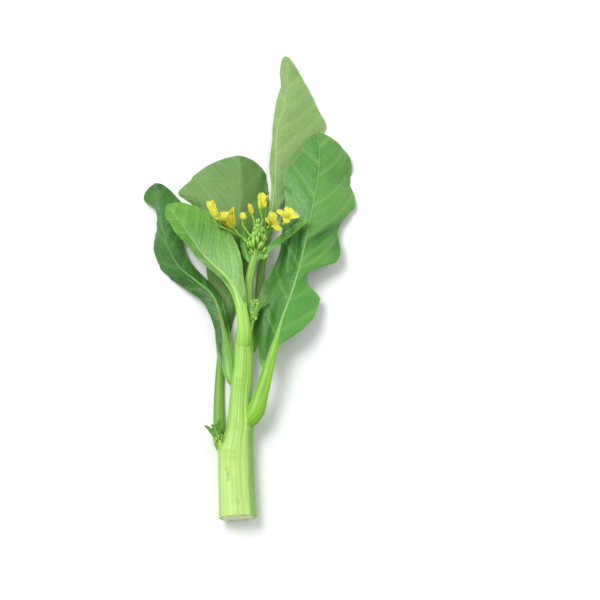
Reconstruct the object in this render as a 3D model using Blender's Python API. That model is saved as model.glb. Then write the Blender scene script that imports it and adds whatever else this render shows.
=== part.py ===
"""Choy sum: one cut flowering shoot that lies on a flat surface.

Units are metres, +Z is up and the shoot points along +Y. The sizes in the tables are in millimetres.
The stem carries five leaves, two bracts, two side shoots and a flower head with its yellow flowers.
The origin ends up at the centre of the bounding box's bottom, on the surface that the shoot lies on.
"""

import math
import random

import bpy
import numpy as np
from mathutils import Matrix, Vector

MM = 0.001
GAP = 0.35  # clearance where one piece is cut by its neighbour
BLADE = 0.8  # thickness of a leaf's blade
PETAL = 0.65  # thickness of a petal
LEAF_ROWS = 25
LEAF_COLUMNS = 6  # on each side of the midrib
SEED = 7

STEM_SIDES = 24
STEM_RIBS = 8
RIB_DEPTH = 0.035  # share of the stem's radius
NODE_SWELL = 0.13  # share of the stem's radius
NODE_LENGTH = 2.6

# Stem: centre line, then half-width across and half-height at each point
STEM = [
    ((-1.0, -138.1, 8.5), 10.6, 9.3),
    ((-2.1, -119.3, 8.4), 10.2, 9.2),
    ((-2.6, -102.7, 8.6), 9.9, 8.8),
    ((-0.7, -85.3, 10.3), 7.6, 7.3),
    ((-0.3, -69.6, 11.2), 6.3, 6.3),
    ((1.0, -51.7, 12.2), 5.9, 5.9),
    ((1.4, -35.6, 13.2), 5.2, 5.2),
    ((1.9, -22.5, 14.0), 4.1, 4.1),
    ((3.0, -9.2, 14.8), 3.3, 3.3),
    ((3.8, 2.0, 15.6), 2.8, 2.8),
    ((6.0, 11.6, 16.9), 2.4, 2.4),
    ((7.9, 20.8, 18.2), 1.9, 1.9),
]
NODES = [-101.5, -82.2, -58.7, -35.3]  # where the nodes ring the stem, along Y

# Each leaf: midrib points, then keys of (share of the length, value)
LEAVES = {
    "leaf_right": {
        "rib": [(-0.2, -84.7, 10.0), (7.8, -78.6, 13.5), (12.4, -66.0, 17.0), (17.8, -45.1, 19.5),
                (23.3, -24.0, 19.0), (30.0, -3.8, 17.5), (35.7, 17.7, 16.0), (39.9, 38.2, 15.5),
                (44.2, 61.4, 14.5), (46.6, 82.1, 12.5), (45.9, 102.4, 8.5)],
        "rib_radius": [(0.0, 4.8), (0.06, 4.4), (0.14, 3.4), (0.26, 2.3), (0.5, 1.3), (1.0, 0.55)],
        "left": [(0.17, 0.3), (0.19, 2.8), (0.22, 7.6), (0.26, 12.6), (0.31, 16.4), (0.36, 18.2),
                 (0.40, 18.2), (0.44, 16.6), (0.48, 15.2), (0.52, 14.4), (0.58, 14.6), (0.64, 15.8),
                 (0.70, 18.0), (0.76, 19.6), (0.81, 17.4), (0.88, 13.6), (0.95, 10.0)],
        "right": [(0.25, 0.3), (0.27, 3.0), (0.29, 7.4), (0.32, 12.2), (0.35, 15.2), (0.38, 16.8),
                  (0.41, 17.8), (0.435, 8.0), (0.455, 5.8), (0.472, 7.0), (0.492, 14.0), (0.51, 19.6),
                  (0.53, 21.4), (0.56, 21.2), (0.60, 20.2), (0.64, 21.2), (0.68, 23.8), (0.72, 26.0),
                  (0.76, 26.2), (0.80, 24.7), (0.85, 22.0), (0.92, 20.4)],
        "left_tilt": [(0.17, -14.0), (0.24, -29.0), (0.36, -28.0), (0.55, -18.0), (0.75, -4.0), (1.0, -12.0)],
        "right_tilt": [(0.25, -5.0), (0.42, -14.0), (0.55, -8.0), (0.75, -20.0), (1.0, -12.0)],
        "left_curl": 6.0,
        "right_curl": -26.0,
        "tip": 0.84,
        "wave": (1.5, 4.0, 0.3),
        "veins": 6,
        "rib_share_up": 0.3,
    },
    "leaf_left_upper": {
        "rib": [(1.5, -39.4, 14.0), (1.7, -33.7, 19.0), (1.2, -24.8, 21.5), (-0.5, -15.3, 22.5),
                (-3.6, -5.7, 23.0), (-9.2, 2.9, 23.0), (-15.9, 9.7, 22.5), (-22.5, 16.3, 21.8),
                (-29.9, 27.0, 20.5), (-37.3, 38.5, 18.5), (-46.0, 51.4, 15.0)],
        "rib_radius": [(0.0, 3.6), (0.12, 3.5), (0.25, 2.8), (0.45, 1.9), (0.7, 1.1), (1.0, 0.55)],
        "left": [(0.24, 0.3), (0.38, 1.4), (0.55, 4.5), (0.75, 9.5), (0.92, 8.0)],
        "right": [(0.22, 0.3), (0.32, 2.5), (0.44, 12.0), (0.55, 18.5), (0.65, 20.0), (0.78, 16.5),
                  (0.9, 10.5)],
        "left_tilt": [(0.3, -20.0), (0.6, -50.0), (0.85, -40.0), (1.0, -25.0)],
        "right_tilt": [(0.3, 4.0), (0.5, 6.0), (0.8, -4.0), (1.0, -8.0)],
        "left_curl": 10.0,
        "right_curl": -14.0,
        "tip": 0.87,
        "wave": (0.8, 3.0, 1.1),
        "veins": 6,
        "rib_share_up": 0.35,
    },
    "leaf_left_lower": {
        "rib": [(-0.4, -62.5, 11.0), (-5.9, -56.1, 11.8), (-8.3, -42.1, 11.0), (-11.6, -23.4, 10.2),
                (-18.0, -4.4, 9.6), (-28.7, 5.5, 9.2), (-38.9, 14.5, 8.8), (-45.5, 27.5, 8.2),
                (-48.9, 42.4, 7.4), (-51.8, 55.9, 6.4), (-54.4, 70.1, 4.2)],
        "rib_radius": [(0.0, 3.0), (0.1, 2.9), (0.3, 2.2), (0.5, 1.5), (0.75, 1.0), (1.0, 0.55)],
        "left": [(0.06, 0.3), (0.18, 2.2), (0.3, 4.2), (0.42, 6.0), (0.52, 8.6), (0.58, 10.8),
                 (0.64, 11.6), (0.68, 9.8), (0.72, 6.4), (0.76, 3.8), (0.80, 1.9), (0.84, 2.2),
                 (0.87, 4.2), (0.90, 7.6), (0.93, 9.8), (0.96, 11.0)],
        "right": [(0.16, 0.3), (0.34, 2.2), (0.48, 6.0), (0.62, 9.0), (0.74, 10.4), (0.82, 13.0),
                  (0.86, 13.2), (0.89, 11.2), (0.93, 9.8), (0.97, 8.6)],
        "left_tilt": [(0.1, -4.0), (0.4, -16.0), (0.6, -40.0), (0.85, -12.0), (1.0, -14.0)],
        "right_tilt": [(0.1, 0.0), (0.5, -26.0), (0.8, -14.0), (1.0, -12.0)],
        "left_curl": -16.0,
        "right_curl": -6.0,
        "tip": 0.88,
        "wave": (0.7, 4.0, 2.0),
        "veins": 6,
        "rib_share_up": 0.3,
    },
    "leaf_back_left": {
        "rib": [(-2.6, -102.6, 8.0), (-11.5, -95.1, 5.2), (-13.0, -82.5, 2.6), (-13.4, -64.0, 1.3),
                (-12.6, -42.4, 1.1), (-10.3, -20.6, 1.1), (-7.6, 1.5, 1.3), (-5.5, 23.7, 2.2),
                (-3.4, 46.0, 3.8), (-2.4, 66.6, 4.6), (-4.4, 88.9, 3.4)],
        "rib_radius": [(0.0, 3.6), (0.1, 3.2), (0.3, 2.3), (0.5, 1.6), (0.75, 1.1), (1.0, 0.55)],
        "left": [(0.34, 0.3), (0.42, 5.0), (0.52, 13.0), (0.64, 20.0), (0.74, 27.0), (0.84, 38.0),
                 (0.91, 37.0)],
        "right": [(0.38, 0.3), (0.48, 5.0), (0.6, 12.0), (0.74, 16.0), (0.86, 18.0), (0.93, 18.0)],
        "left_tilt": [(0.4, -4.0), (0.7, -2.0), (1.0, -3.0)],
        "right_tilt": [(0.4, -6.0), (0.7, -8.0), (0.86, -10.0), (1.0, -8.0)],
        "left_curl": -12.0,
        "right_curl": -10.0,
        "tip": 0.8,
        "wave": (1.2, 3.0, 0.0),
        "veins": 6,
        "rib_share_up": 0.7,
    },
    "leaf_back_right": {
        "rib": [(1.6, -43.6, 12.5), (6.3, -35.1, 8.0), (8.9, -19.7, 5.0), (9.9, -3.1, 4.0),
                (11.1, 14.5, 4.0), (14.5, 32.7, 4.4), (17.8, 50.9, 5.2), (19.4, 65.9, 6.2),
                (19.6, 84.4, 7.2), (20.6, 106.0, 7.2), (24.0, 120.0, 6.6), (26.2, 133.0, 5.6),
                (26.6, 146.0, 4.0), (25.0, 158.2, 1.8)],
        "rib_radius": [(0.0, 2.8), (0.1, 2.5), (0.3, 2.0), (0.55, 1.4), (0.75, 1.0), (1.0, 0.55)],
        "left": [(0.44, 0.3), (0.52, 1.4), (0.58, 3.1), (0.66, 3.0), (0.70, 4.1), (0.75, 5.6),
                 (0.86, 5.4), (0.93, 4.8), (0.97, 3.9)],
        "right": [(0.46, 0.3), (0.54, 8.6), (0.62, 21.0), (0.67, 26.6), (0.72, 28.2), (0.75, 23.2),
                  (0.81, 14.9), (0.87, 8.3), (0.93, 5.4), (0.97, 3.4)],
        "left_tilt": [(0.45, -14.0), (0.6, -34.0), (1.0, -34.0)],
        "right_tilt": [(0.45, -4.0), (0.7, -8.0), (1.0, -8.0)],
        "left_curl": -12.0,
        "right_curl": -8.0,
        "tip": 0.95,
        "wave": (0.7, 3.0, 1.6),
        "veins": 6,
        "rib_share_up": 0.7,
    },
    "bract_left": {
        "rib": [(6.1, 12.1, 17.0), (2.7, 18.1, 16.5), (0.9, 27.8, 16.6), (0.2, 39.6, 17.2)],
        "rib_radius": [(0.0, 0.9), (0.5, 0.8), (1.0, 0.5)],
        "left": [(0.1, 0.3), (0.3, 1.5), (0.6, 2.0), (0.9, 1.9)],
        "right": [(0.1, 0.3), (0.3, 1.5), (0.6, 2.0), (0.9, 1.9)],
        "left_tilt": [(0.0, -22.0), (1.0, -28.0)],
        "right_tilt": [(0.0, -22.0), (1.0, -28.0)],
        "left_curl": -20.0,
        "right_curl": -20.0,
        "tip": 0.84,
        "wave": (0.0, 1.0, 0.0),
        "veins": 4,
        "rib_share_up": 0.3,
    },
    "bract_right": {
        "rib": [(6.5, 14.1, 17.2), (12.5, 18.9, 18.0), (21.0, 25.7, 19.2), (30.0, 32.6, 20.2),
                (39.0, 40.4, 20.6)],
        "rib_radius": [(0.0, 1.2), (0.4, 0.9), (1.0, 0.4)],
        "left": [(0.1, 0.3), (0.5, 1.7), (0.85, 1.6)],
        "right": [(0.1, 0.3), (0.5, 1.7), (0.85, 1.6)],
        "left_tilt": [(0.0, 38.0), (1.0, 30.0)],
        "right_tilt": [(0.0, 38.0), (1.0, 30.0)],
        "left_curl": 0.0,
        "right_curl": 0.0,
        "tip": 0.75,
        "wave": (0.3, 3.0, 0.5),
        "veins": 5,
        "rib_share_up": 0.3,
    },
}
BRACT_ROWS = 9
BRACT_COLUMNS = 4
VEIN_SWEEP = 0.075  # how far the side veins lean forward at the margin, as a share of the leaf's length
PILLOW = 0.45  # how high the blade stands between two side veins

# Flower head: its axis, and the foot, facing and opening angle of each flower
HEAD_AXIS = [(8.1, 21.5, 18.3), (8.6, 27.2, 19.2), (8.8, 32.2, 20.0), (9.1, 37.4, 20.4)]
HEAD_RADIUS = [1.8, 1.5, 1.2, 0.8]
FLOWERS = [
    {"foot": (-14.8, 37.2, 25.6), "facing": (-0.38, 0.88, 0.24), "spread": 19.0, "petal": (10.8, 4.4), "turn": 20.0},
    {"foot": (-5.2, 33.2, 25.2), "facing": (-0.44, 0.76, 0.48), "spread": 26.0, "petal": (9.2, 5.2), "turn": 50.0},
    {"foot": (0.3, 38.3, 22.5), "facing": (0.0, 0.98, 0.1), "spread": 0.0, "petal": (5.2, 4.0), "turn": 0.0},
    {"foot": (6.0, 42.8, 20.6), "facing": (-0.28, 0.95, 0.1), "spread": 0.0, "petal": (7.2, 3.1), "turn": 0.0},
    {"foot": (12.3, 44.3, 21.5), "facing": (-0.02, 0.92, 0.36), "spread": 22.0, "petal": (10.2, 4.6), "turn": 30.0},
    {"foot": (16.0, 34.5, 24.0), "facing": (0.50, 0.30, 0.80), "spread": 44.0, "petal": (7.2, 4.4), "turn": 10.0},
    {"foot": (25.2, 37.0, 24.6), "facing": (0.40, 0.50, 0.76), "spread": 52.0, "petal": (8.0, 5.4), "turn": 26.0},
]
CUP_RADIUS = 1.25
CUP_LENGTH = 3.6
FLOWER_STALK = 0.6  # radius
BUDS = 22
BUD_LENGTH = 4.0
BUD_RADIUS = 1.25
BUD_STALK = 0.5
GOLDEN_ANGLE = math.radians(137.508)

# Side shoots in two leaf axils: foot, tip and the number of buds
SIDE_SHOOTS = {
    "side_shoot_left": {"foot": (-10.3, -99.6, 12.4), "tip": (-16.6, -82.0, 15.0), "buds": 5},
    "side_shoot_right": {"foot": (5.0, -28.6, 15.5), "tip": (9.3, -5.7, 18.5), "buds": 6},
}


def clear_scene():
    for obj in list(bpy.data.objects):
        bpy.data.objects.remove(obj)


def material(name, colour, roughness):
    made = bpy.data.materials.new(name)
    made.use_nodes = True
    shader = made.node_tree.nodes["Principled BSDF"]
    shader.inputs["Base Color"].default_value = (*colour, 1.0)
    shader.inputs["Roughness"].default_value = roughness
    shader.inputs["Metallic"].default_value = 0.0
    return made


def add_object(name, points, faces, surface, parent=None):
    """A mesh object from points in millimetres."""
    mesh = bpy.data.meshes.new(name)
    mesh.from_pydata([Vector(p) * MM for p in points], [], [tuple(f) for f in faces])
    mesh.materials.append(surface)
    mesh.shade_smooth()
    mesh.set_sharp_from_angle(angle=math.radians(50))
    obj = bpy.data.objects.new(name, mesh)
    bpy.context.scene.collection.objects.link(obj)
    obj.parent = parent
    return obj


def through(keys, at, bounded=False):
    """Smooth values at the stations in at, through (station, value) keys. Bounded ones never overshoot a key."""
    stations = np.array([k[0] for k in keys], float)
    values = np.array([np.atleast_1d(k[1]) for k in keys], float)
    slope = np.diff(values, axis=0) / np.diff(stations)[:, None]
    middle = (slope[:-1] + slope[1:]) / 2
    if bounded:
        product = slope[:-1] * slope[1:]
        middle = np.where(product > 0, product / np.where(middle == 0, 1, middle), 0)
    tangent = np.vstack([slope[:1], middle, slope[-1:]])
    at = np.clip(np.asarray(at, float), stations[0], stations[-1])
    k = np.clip(np.searchsorted(stations, at, side="right") - 1, 0, len(stations) - 2)
    span = (stations[k + 1] - stations[k])[..., None]
    u = (at - stations[k])[..., None] / span
    return (
        (2 * u**3 - 3 * u**2 + 1) * values[k]
        + (u**3 - 2 * u**2 + u) * span * tangent[k]
        + (3 * u**2 - 2 * u**3) * values[k + 1]
        + (u**3 - u**2) * span * tangent[k + 1]
    )


def scalar(keys, at):
    return through(keys, at, bounded=True)[..., 0]


class Path:
    """A smooth curve through points, read by its share of the length from 0 to 1."""

    def __init__(self, points):
        points = np.array(points, float)
        chord = np.concatenate([[0], np.cumsum(np.linalg.norm(np.diff(points, axis=0), axis=1))])
        self.dense = through(list(zip(chord, points)), np.linspace(0, chord[-1], 400))
        run = np.concatenate([[0], np.cumsum(np.linalg.norm(np.diff(self.dense, axis=0), axis=1))])
        self.length = run[-1]
        self.share = run / run[-1]
        self.slope = np.gradient(self.dense, self.share, axis=0)

    def point(self, t):
        return np.stack([np.interp(t, self.share, self.dense[:, i]) for i in range(3)], axis=-1)

    def frame(self, t):
        """Unit vectors along the path, to its right and up, at each t."""
        along = np.stack([np.interp(t, self.share, self.slope[:, i]) for i in range(3)], axis=-1)
        along = unit(along)
        right = unit(np.cross(along, (0.0, 0.0, 1.0)))
        return along, right, np.cross(right, along)


def unit(v):
    return v / np.maximum(np.linalg.norm(v, axis=-1, keepdims=True), 1e-12)


def smooth_step(x):
    x = np.clip(x, 0, 1)
    return x * x * (3 - 2 * x)


def half_width(leaf, side, t):
    """Width of one half's blade beyond the midrib, rounded off at the tip."""
    width = scalar(leaf[side], t)
    past = np.clip((t - leaf["tip"]) / (1 - leaf["tip"]), 0, 1)
    return np.maximum(width * np.sqrt(1 - past**2), 0.3)


def half_blade(leaf, path, t, side, columns):
    """Middle surface of one half, row by row from the midrib out, with each point's distance from the rib."""
    sign = 1 if side == "right" else -1
    rib = scalar(leaf["rib_radius"], t)
    blade = half_width(leaf, side, t)
    total = rib + blade
    outer = (np.arange(columns + 1) - 2) / (columns - 2)
    in_blade = np.array([[0, 0.55 * r, r][j] if j < 2 else r + b * outer[j] for r, b in zip(rib, blade)
                         for j in range(columns + 1)]).reshape(len(t), -1)
    in_stalk = total[:, None] * np.sin(np.linspace(0, math.pi / 2, columns + 1))
    open_share = smooth_step(blade / 3.0 - 0.1)[:, None]
    out = in_stalk * (1 - open_share) + in_blade * open_share
    reach = out / total[:, None]
    starts = leaf[side][0][0]
    phase = np.clip((t - starts) / (1 - starts), 0, 1)[:, None]
    lean = VEIN_SWEEP * reach * np.sin(math.pi * phase)
    place = t[:, None] + lean
    along, right, up = path.frame(place)
    tilt = scalar(leaf[side + "_tilt"], t)[:, None]
    angle = np.radians(tilt + leaf[side + "_curl"] * reach**1.5) * smooth_step(blade / 2.0)[:, None]
    middle_angle = (angle[:, 1:] + angle[:, :-1]) / 2
    step = np.diff(out, axis=1)
    sideways = np.concatenate([np.zeros((len(t), 1)), np.cumsum(step * np.cos(middle_angle), axis=1)], axis=1)
    upwards = np.concatenate([np.zeros((len(t), 1)), np.cumsum(step * np.sin(middle_angle), axis=1)], axis=1)
    height, count, start = leaf["wave"]
    stagger = 0.5 if side == "right" else 0.0
    veins = leaf["veins"] * phase + stagger
    wave = height * reach**2 * np.sin(2 * math.pi * (count * phase + start + stagger))
    pillow = PILLOW * (0.5 - 0.5 * np.cos(2 * math.pi * veins)) * np.sin(math.pi * np.clip(reach, 0, 1))
    lift = (wave + pillow) * open_share * np.minimum(1, 4 * (1 - phase))
    sideways = sideways - lift * np.sin(angle)
    upwards = upwards + lift * np.cos(angle)
    points = path.point(place) + sign * sideways[..., None] * right + upwards[..., None] * up
    return points, out, rib


def leaf_solid(leaf, rows, columns):
    """Points and triangles of a whole leaf: stalk, midrib and blade in one closed skin that never dips below z = 0."""
    path = Path(leaf["rib"])
    t = 1 - (1 - np.linspace(0, 1, rows + 1)) ** 1.25
    right, right_out, rib = half_blade(leaf, path, t, "right", columns)
    left, left_out, _ = half_blade(leaf, path, t, "left", columns)
    middle = np.concatenate([left[:, :0:-1], right], axis=1)
    out = np.concatenate([left_out[:, :0:-1], right_out], axis=1)
    across = np.gradient(middle, axis=1)
    along = np.gradient(middle, axis=0)
    normal = unit(np.cross(across, along))
    bulge = 1.75 * rib[:, None] * np.sqrt(np.clip(1 - (out / rib[:, None]) ** 2, 0, 1))
    upper = middle + normal * (BLADE / 2 + leaf["rib_share_up"] * bulge)[..., None]
    lower = middle - normal * (BLADE / 2 + (1 - leaf["rib_share_up"]) * bulge)[..., None]
    lower[..., 2] = np.maximum(lower[..., 2], 0.0)
    upper[..., 2] = np.maximum(upper[..., 2], lower[..., 2] * 0 + BLADE * 0.75)
    return closed_sheet(upper, lower)


def closed_sheet(upper, lower):
    """Joins two grids of points, split into triangles alike, into one closed skin."""
    rows, columns = upper.shape[:2]
    points = np.concatenate([upper.reshape(-1, 3), lower.reshape(-1, 3)])
    half = rows * columns
    faces = []

    def quad(a, b, c, d):
        faces.append((a, b, c))
        faces.append((a, c, d))

    for i in range(rows - 1):
        for j in range(columns - 1):
            a = i * columns + j
            b, c, d = a + 1, a + columns + 1, a + columns
            quad(a, b, c, d)
            faces.append((half + a, half + c, half + b))
            faces.append((half + a, half + d, half + c))
    for i in range(rows - 1):
        a = i * columns
        quad(a, a + columns, half + a + columns, half + a)
        b = a + columns - 1
        quad(b + columns, b, half + b, half + b + columns)
    for j in range(columns - 1):
        quad(j + 1, j, half + j, half + j + 1)
        b = (rows - 1) * columns + j
        quad(b, b + 1, half + b + 1, half + b)
    return points, faces


def tube(rings):
    """Points and faces of a solid skinned over rings of equal size, with flat ends."""
    count = len(rings[0])
    points = [p for ring in rings for p in ring]
    faces = []
    for i in range(len(rings) - 1):
        for j in range(count):
            a = i * count + j
            b = i * count + (j + 1) % count
            faces.append((a, b, b + count, a + count))
    faces.append(tuple(reversed(range(count))))
    faces.append(tuple(range(len(points) - count, len(points))))
    return points, faces


def stem_rings(extra, rows=34):
    """Rings of the stem, grown by extra all round. The underside is pressed flat where it lies on the surface."""
    centres = [s[0] for s in STEM]
    path = Path(centres)
    chord = np.concatenate([[0], np.cumsum(np.linalg.norm(np.diff(np.array(centres), axis=0), axis=1))])
    keys = chord / chord[-1]
    t = np.linspace(0, 1, rows + 1)
    wide = scalar(list(zip(keys, [s[1] for s in STEM])), t)
    tall = scalar(list(zip(keys, [s[2] for s in STEM])), t)
    turn = np.arange(STEM_SIDES) * 2 * math.pi / STEM_SIDES
    rings = []
    for i, share in enumerate(t):
        centre = path.point(share)
        _, right, up = path.frame(share)
        swell = 1 + NODE_SWELL * sum(math.exp(-(((centre[1] - y) / NODE_LENGTH) ** 2)) for y in NODES)
        rib = 1 + RIB_DEPTH * np.cos(STEM_RIBS * turn)
        across = (wide[i] * swell * rib + extra) * np.cos(turn)
        over = (tall[i] * swell * rib + extra) * np.sin(turn)
        ring = centre + across[:, None] * right + over[:, None] * up
        if extra == 0:
            ring[:, 2] = np.maximum(ring[:, 2], 0.0)
        rings.append(ring[::-1])
    return rings


def spindle(foot, facing, radii, length, sides):
    """A closed round body that grows from foot along facing, with the given radii at even steps."""
    facing = Vector(facing).normalized()
    turn = facing.to_track_quat("Z", "Y").to_matrix()
    rings = []
    for i, radius in enumerate(radii):
        along = length * i / (len(radii) - 1)
        ring = [Vector((radius * math.cos(a), radius * math.sin(a), along))
                for a in (2 * math.pi * k / sides for k in range(sides))]
        rings.append([Vector(foot) + turn @ p for p in ring])
    return tube(rings)


def stalk(start, end, radius, sides=5, rows=3, sag=0.0):
    """A thin stalk from start to end that bows by sag below the straight line."""
    start, end = Vector(start), Vector(end)
    middle = (start + end) / 2 - Vector((0, 0, sag))
    path = Path([start, middle, end])
    rings = []
    for share in np.linspace(0, 1, rows + 1):
        centre = path.point(share)
        _, right, up = path.frame(share)
        rings.append([centre + radius * (math.cos(a) * right + math.sin(a) * up)
                      for a in (-2 * math.pi * k / sides for k in range(sides))])
    return tube(rings)


def union(name, parts, surface, parent):
    """One solid from several overlapping closed shapes, joined by a Boolean union on their collection."""
    base = add_object(name, *parts[0], surface, parent)
    group = bpy.data.collections.new(name + "_parts")
    bpy.context.scene.collection.children.link(group)
    others = []
    for i, (points, faces) in enumerate(parts[1:]):
        other = add_object(f"{name}_part_{i}", points, faces, surface)
        bpy.context.scene.collection.objects.unlink(other)
        group.objects.link(other)
        others.append(other)
    join = base.modifiers.new("join", "BOOLEAN")
    join.operation = "UNION"
    join.operand_type = "COLLECTION"
    join.collection = group
    join.solver = "MANIFOLD"
    apply_modifiers(base)
    for other in others:
        bpy.data.objects.remove(other)
    bpy.data.collections.remove(group)
    return base


def apply_modifiers(obj):
    graph = bpy.context.evaluated_depsgraph_get()
    mesh = bpy.data.meshes.new_from_object(obj.evaluated_get(graph))
    obj.modifiers.clear()
    obj.data = mesh


def cut_by(obj, cutter):
    """Leaves out of obj the space that the stem takes, with its clearance."""
    cut = obj.modifiers.new("stem space", "BOOLEAN")
    cut.operation = "DIFFERENCE"
    cut.object = cutter
    apply_modifiers(obj)


def petal(flower, turn_about):
    """One petal: a narrow claw that widens into a rounded, cupped blade."""
    length, width = flower["petal"]
    rows, columns = 3, 4
    facing = Vector(flower["facing"]).normalized()
    basis = facing.to_track_quat("Z", "Y").to_matrix() @ Matrix.Rotation(turn_about, 3, "Z")
    spread = math.radians(flower["spread"])
    grid = np.zeros((rows + 1, columns + 1, 3))
    for i in range(rows + 1):
        t = i / rows
        half = width / 2 * (0.14, 0.7, 1.0, 0.62)[i]
        lean = spread * (0.5 + 0.7 * t)
        radial = 0.8 + length * t * math.sin(lean)
        height = 0.9 + length * t * math.cos(lean)
        for j in range(columns + 1):
            s = 2 * j / columns - 1
            dip = 0.14 * width * s * s * t
            round_end = 1 - 0.16 * s * s * t
            grid[i, j] = (s * half, -radial * round_end, height * round_end + dip)
    normal = unit(np.cross(np.gradient(grid, axis=1), np.gradient(grid, axis=0)))
    points, faces = closed_sheet(grid + normal * PETAL / 2, grid - normal * PETAL / 2)
    foot = Vector(flower["foot"])
    return [foot + basis @ Vector(p) for p in points], faces


def flower_petals(index, flower, surface, parent):
    """The petals of one flower on a small boss that stands just clear of the green cup, or the tip of a closed one."""
    name = f"petals_{index}"
    length, width = flower["petal"]
    if flower["spread"] == 0:
        radii = [width / 2 * r for r in (0.55, 0.95, 1.0, 0.8, 0.35)]
        return add_object(name, *spindle(flower["foot"], flower["facing"], radii, length, 8), surface, parent)
    boss = spindle(flower["foot"], flower["facing"], [0.6, 1.25, 1.2, 0.5], 2.4, 6)
    start = math.radians(flower["turn"])
    petals = [petal(flower, start + k * math.pi / 2) for k in range(4)]
    return union(name, [boss, *petals], surface, parent)


def bud(foot, facing, size):
    radii = [r * BUD_RADIUS * size for r in (0.45, 0.95, 1.0, 0.72, 0.3)]
    return spindle(foot, facing, radii, BUD_LENGTH * size, 6)


def flower_head(surface, parent):
    """The axis of the raceme, a stalk and a cup for each flower, and the closed buds round its top."""
    rng = random.Random(SEED)
    path = Path(HEAD_AXIS)
    rings = []
    for share in np.linspace(0, 1, 6):
        centre = path.point(share)
        _, right, up = path.frame(share)
        radius = np.interp(share, np.linspace(0, 1, len(HEAD_RADIUS)), HEAD_RADIUS)
        rings.append([centre + radius * (math.cos(a) * right + math.sin(a) * up)
                      for a in (-2 * math.pi * k / 8 for k in range(8))])
    parts = [tube(rings)]
    for i, flower in enumerate(FLOWERS):
        facing = Vector(flower["facing"]).normalized()
        foot = Vector(flower["foot"]) - facing * (CUP_LENGTH + GAP)
        radii = [r * CUP_RADIUS for r in (0.5, 0.9, 1.0, 0.85)]
        parts.append(spindle(foot, facing, radii, CUP_LENGTH, 6))
        start = path.point(0.12 + 0.1 * i)
        parts.append(stalk(start, foot + facing * 0.8, FLOWER_STALK, sag=2.2))
    for k in range(BUDS):
        share = 0.35 + 0.65 * k / (BUDS - 1)
        turn = k * GOLDEN_ANGLE
        outward = 1.0 - 0.75 * (k / (BUDS - 1))
        facing = Vector((math.cos(turn) * outward, 0.75, math.sin(turn) * outward)).normalized()
        start = Vector(path.point(share))
        reach = 6.2 - 2.6 * k / BUDS + rng.uniform(-0.5, 0.5)
        foot = start + facing * reach
        parts.append(stalk(start, foot + facing * 0.5, BUD_STALK, rows=1))
        parts.append(bud(foot, facing, 1.0 - 0.35 * k / BUDS))
    return union("flower_head", parts, surface, parent)


def side_shoot(name, shoot, surface, parent):
    """A short axillary shoot: a stalk, a few narrow leaves round it and a cluster of small buds."""
    rng = random.Random(SEED + shoot["buds"])
    foot, tip = Vector(shoot["foot"]), Vector(shoot["tip"])
    along = (tip - foot).normalized()
    parts = [spindle(foot - along * 2.0, along, [1.5, 1.35, 1.15, 0.8], (tip - foot).length * 0.75, 7)]
    basis = along.to_track_quat("Z", "Y").to_matrix()
    count = shoot["buds"]
    for k in range(count):
        turn = k * GOLDEN_ANGLE
        out = basis @ Vector((math.cos(turn), math.sin(turn), 0))
        start = foot + along * (tip - foot).length * (0.4 + 0.3 * k / count)
        facing = (along + out * (0.55 - 0.04 * k)).normalized()
        end = start + facing * (4.2 + rng.uniform(-0.4, 0.4))
        parts.append(stalk(start, end, 0.45, rows=1))
        parts.append(bud(end - facing * 0.5, facing, 0.62))
    for k in range(3):
        turn = k * 2 * math.pi / 3 + 0.6
        out = basis @ Vector((math.cos(turn), math.sin(turn), 0))
        start = foot + along * 3.0
        facing = (along + out * 0.32).normalized()
        parts.append(scale_leaf(start, facing, out, (tip - foot).length * 0.85))
    return union(name, parts, surface, parent)


def scale_leaf(foot, facing, out, length):
    """A small pointed leaf that hugs its shoot."""
    side = facing.cross(out).normalized()
    rows, columns = 5, 4
    grid = np.zeros((rows + 1, columns + 1, 3))
    for i in range(rows + 1):
        t = i / rows
        half = 0.5 + 1.9 * math.sin(math.pi * min(1.0, 0.08 + 0.86 * t))
        for j in range(columns + 1):
            s = 2 * j / columns - 1
            place = foot + facing * length * t + side * s * half + out * (1.5 * t * t - 0.6 * s * s * t)
            grid[i, j] = place
    normal = unit(np.cross(np.gradient(grid, axis=1), np.gradient(grid, axis=0)))
    return closed_sheet(grid + normal * 0.35, grid - normal * 0.35)


def rest_on_origin(parent):
    """Moves the shoot so that the origin is the centre of its box's bottom."""
    bpy.context.view_layer.update()
    graph = bpy.context.evaluated_depsgraph_get()
    corners = []
    for obj in parent.children:
        if obj.hide_render:
            continue
        mesh = obj.evaluated_get(graph).to_mesh()
        corners += [obj.matrix_world @ v.co for v in mesh.vertices]
    low = [min(c[i] for c in corners) for i in range(3)]
    high = [max(c[i] for c in corners) for i in range(3)]
    parent.location = (-(low[0] + high[0]) / 2, -(low[1] + high[1]) / 2, -low[2])


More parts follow.
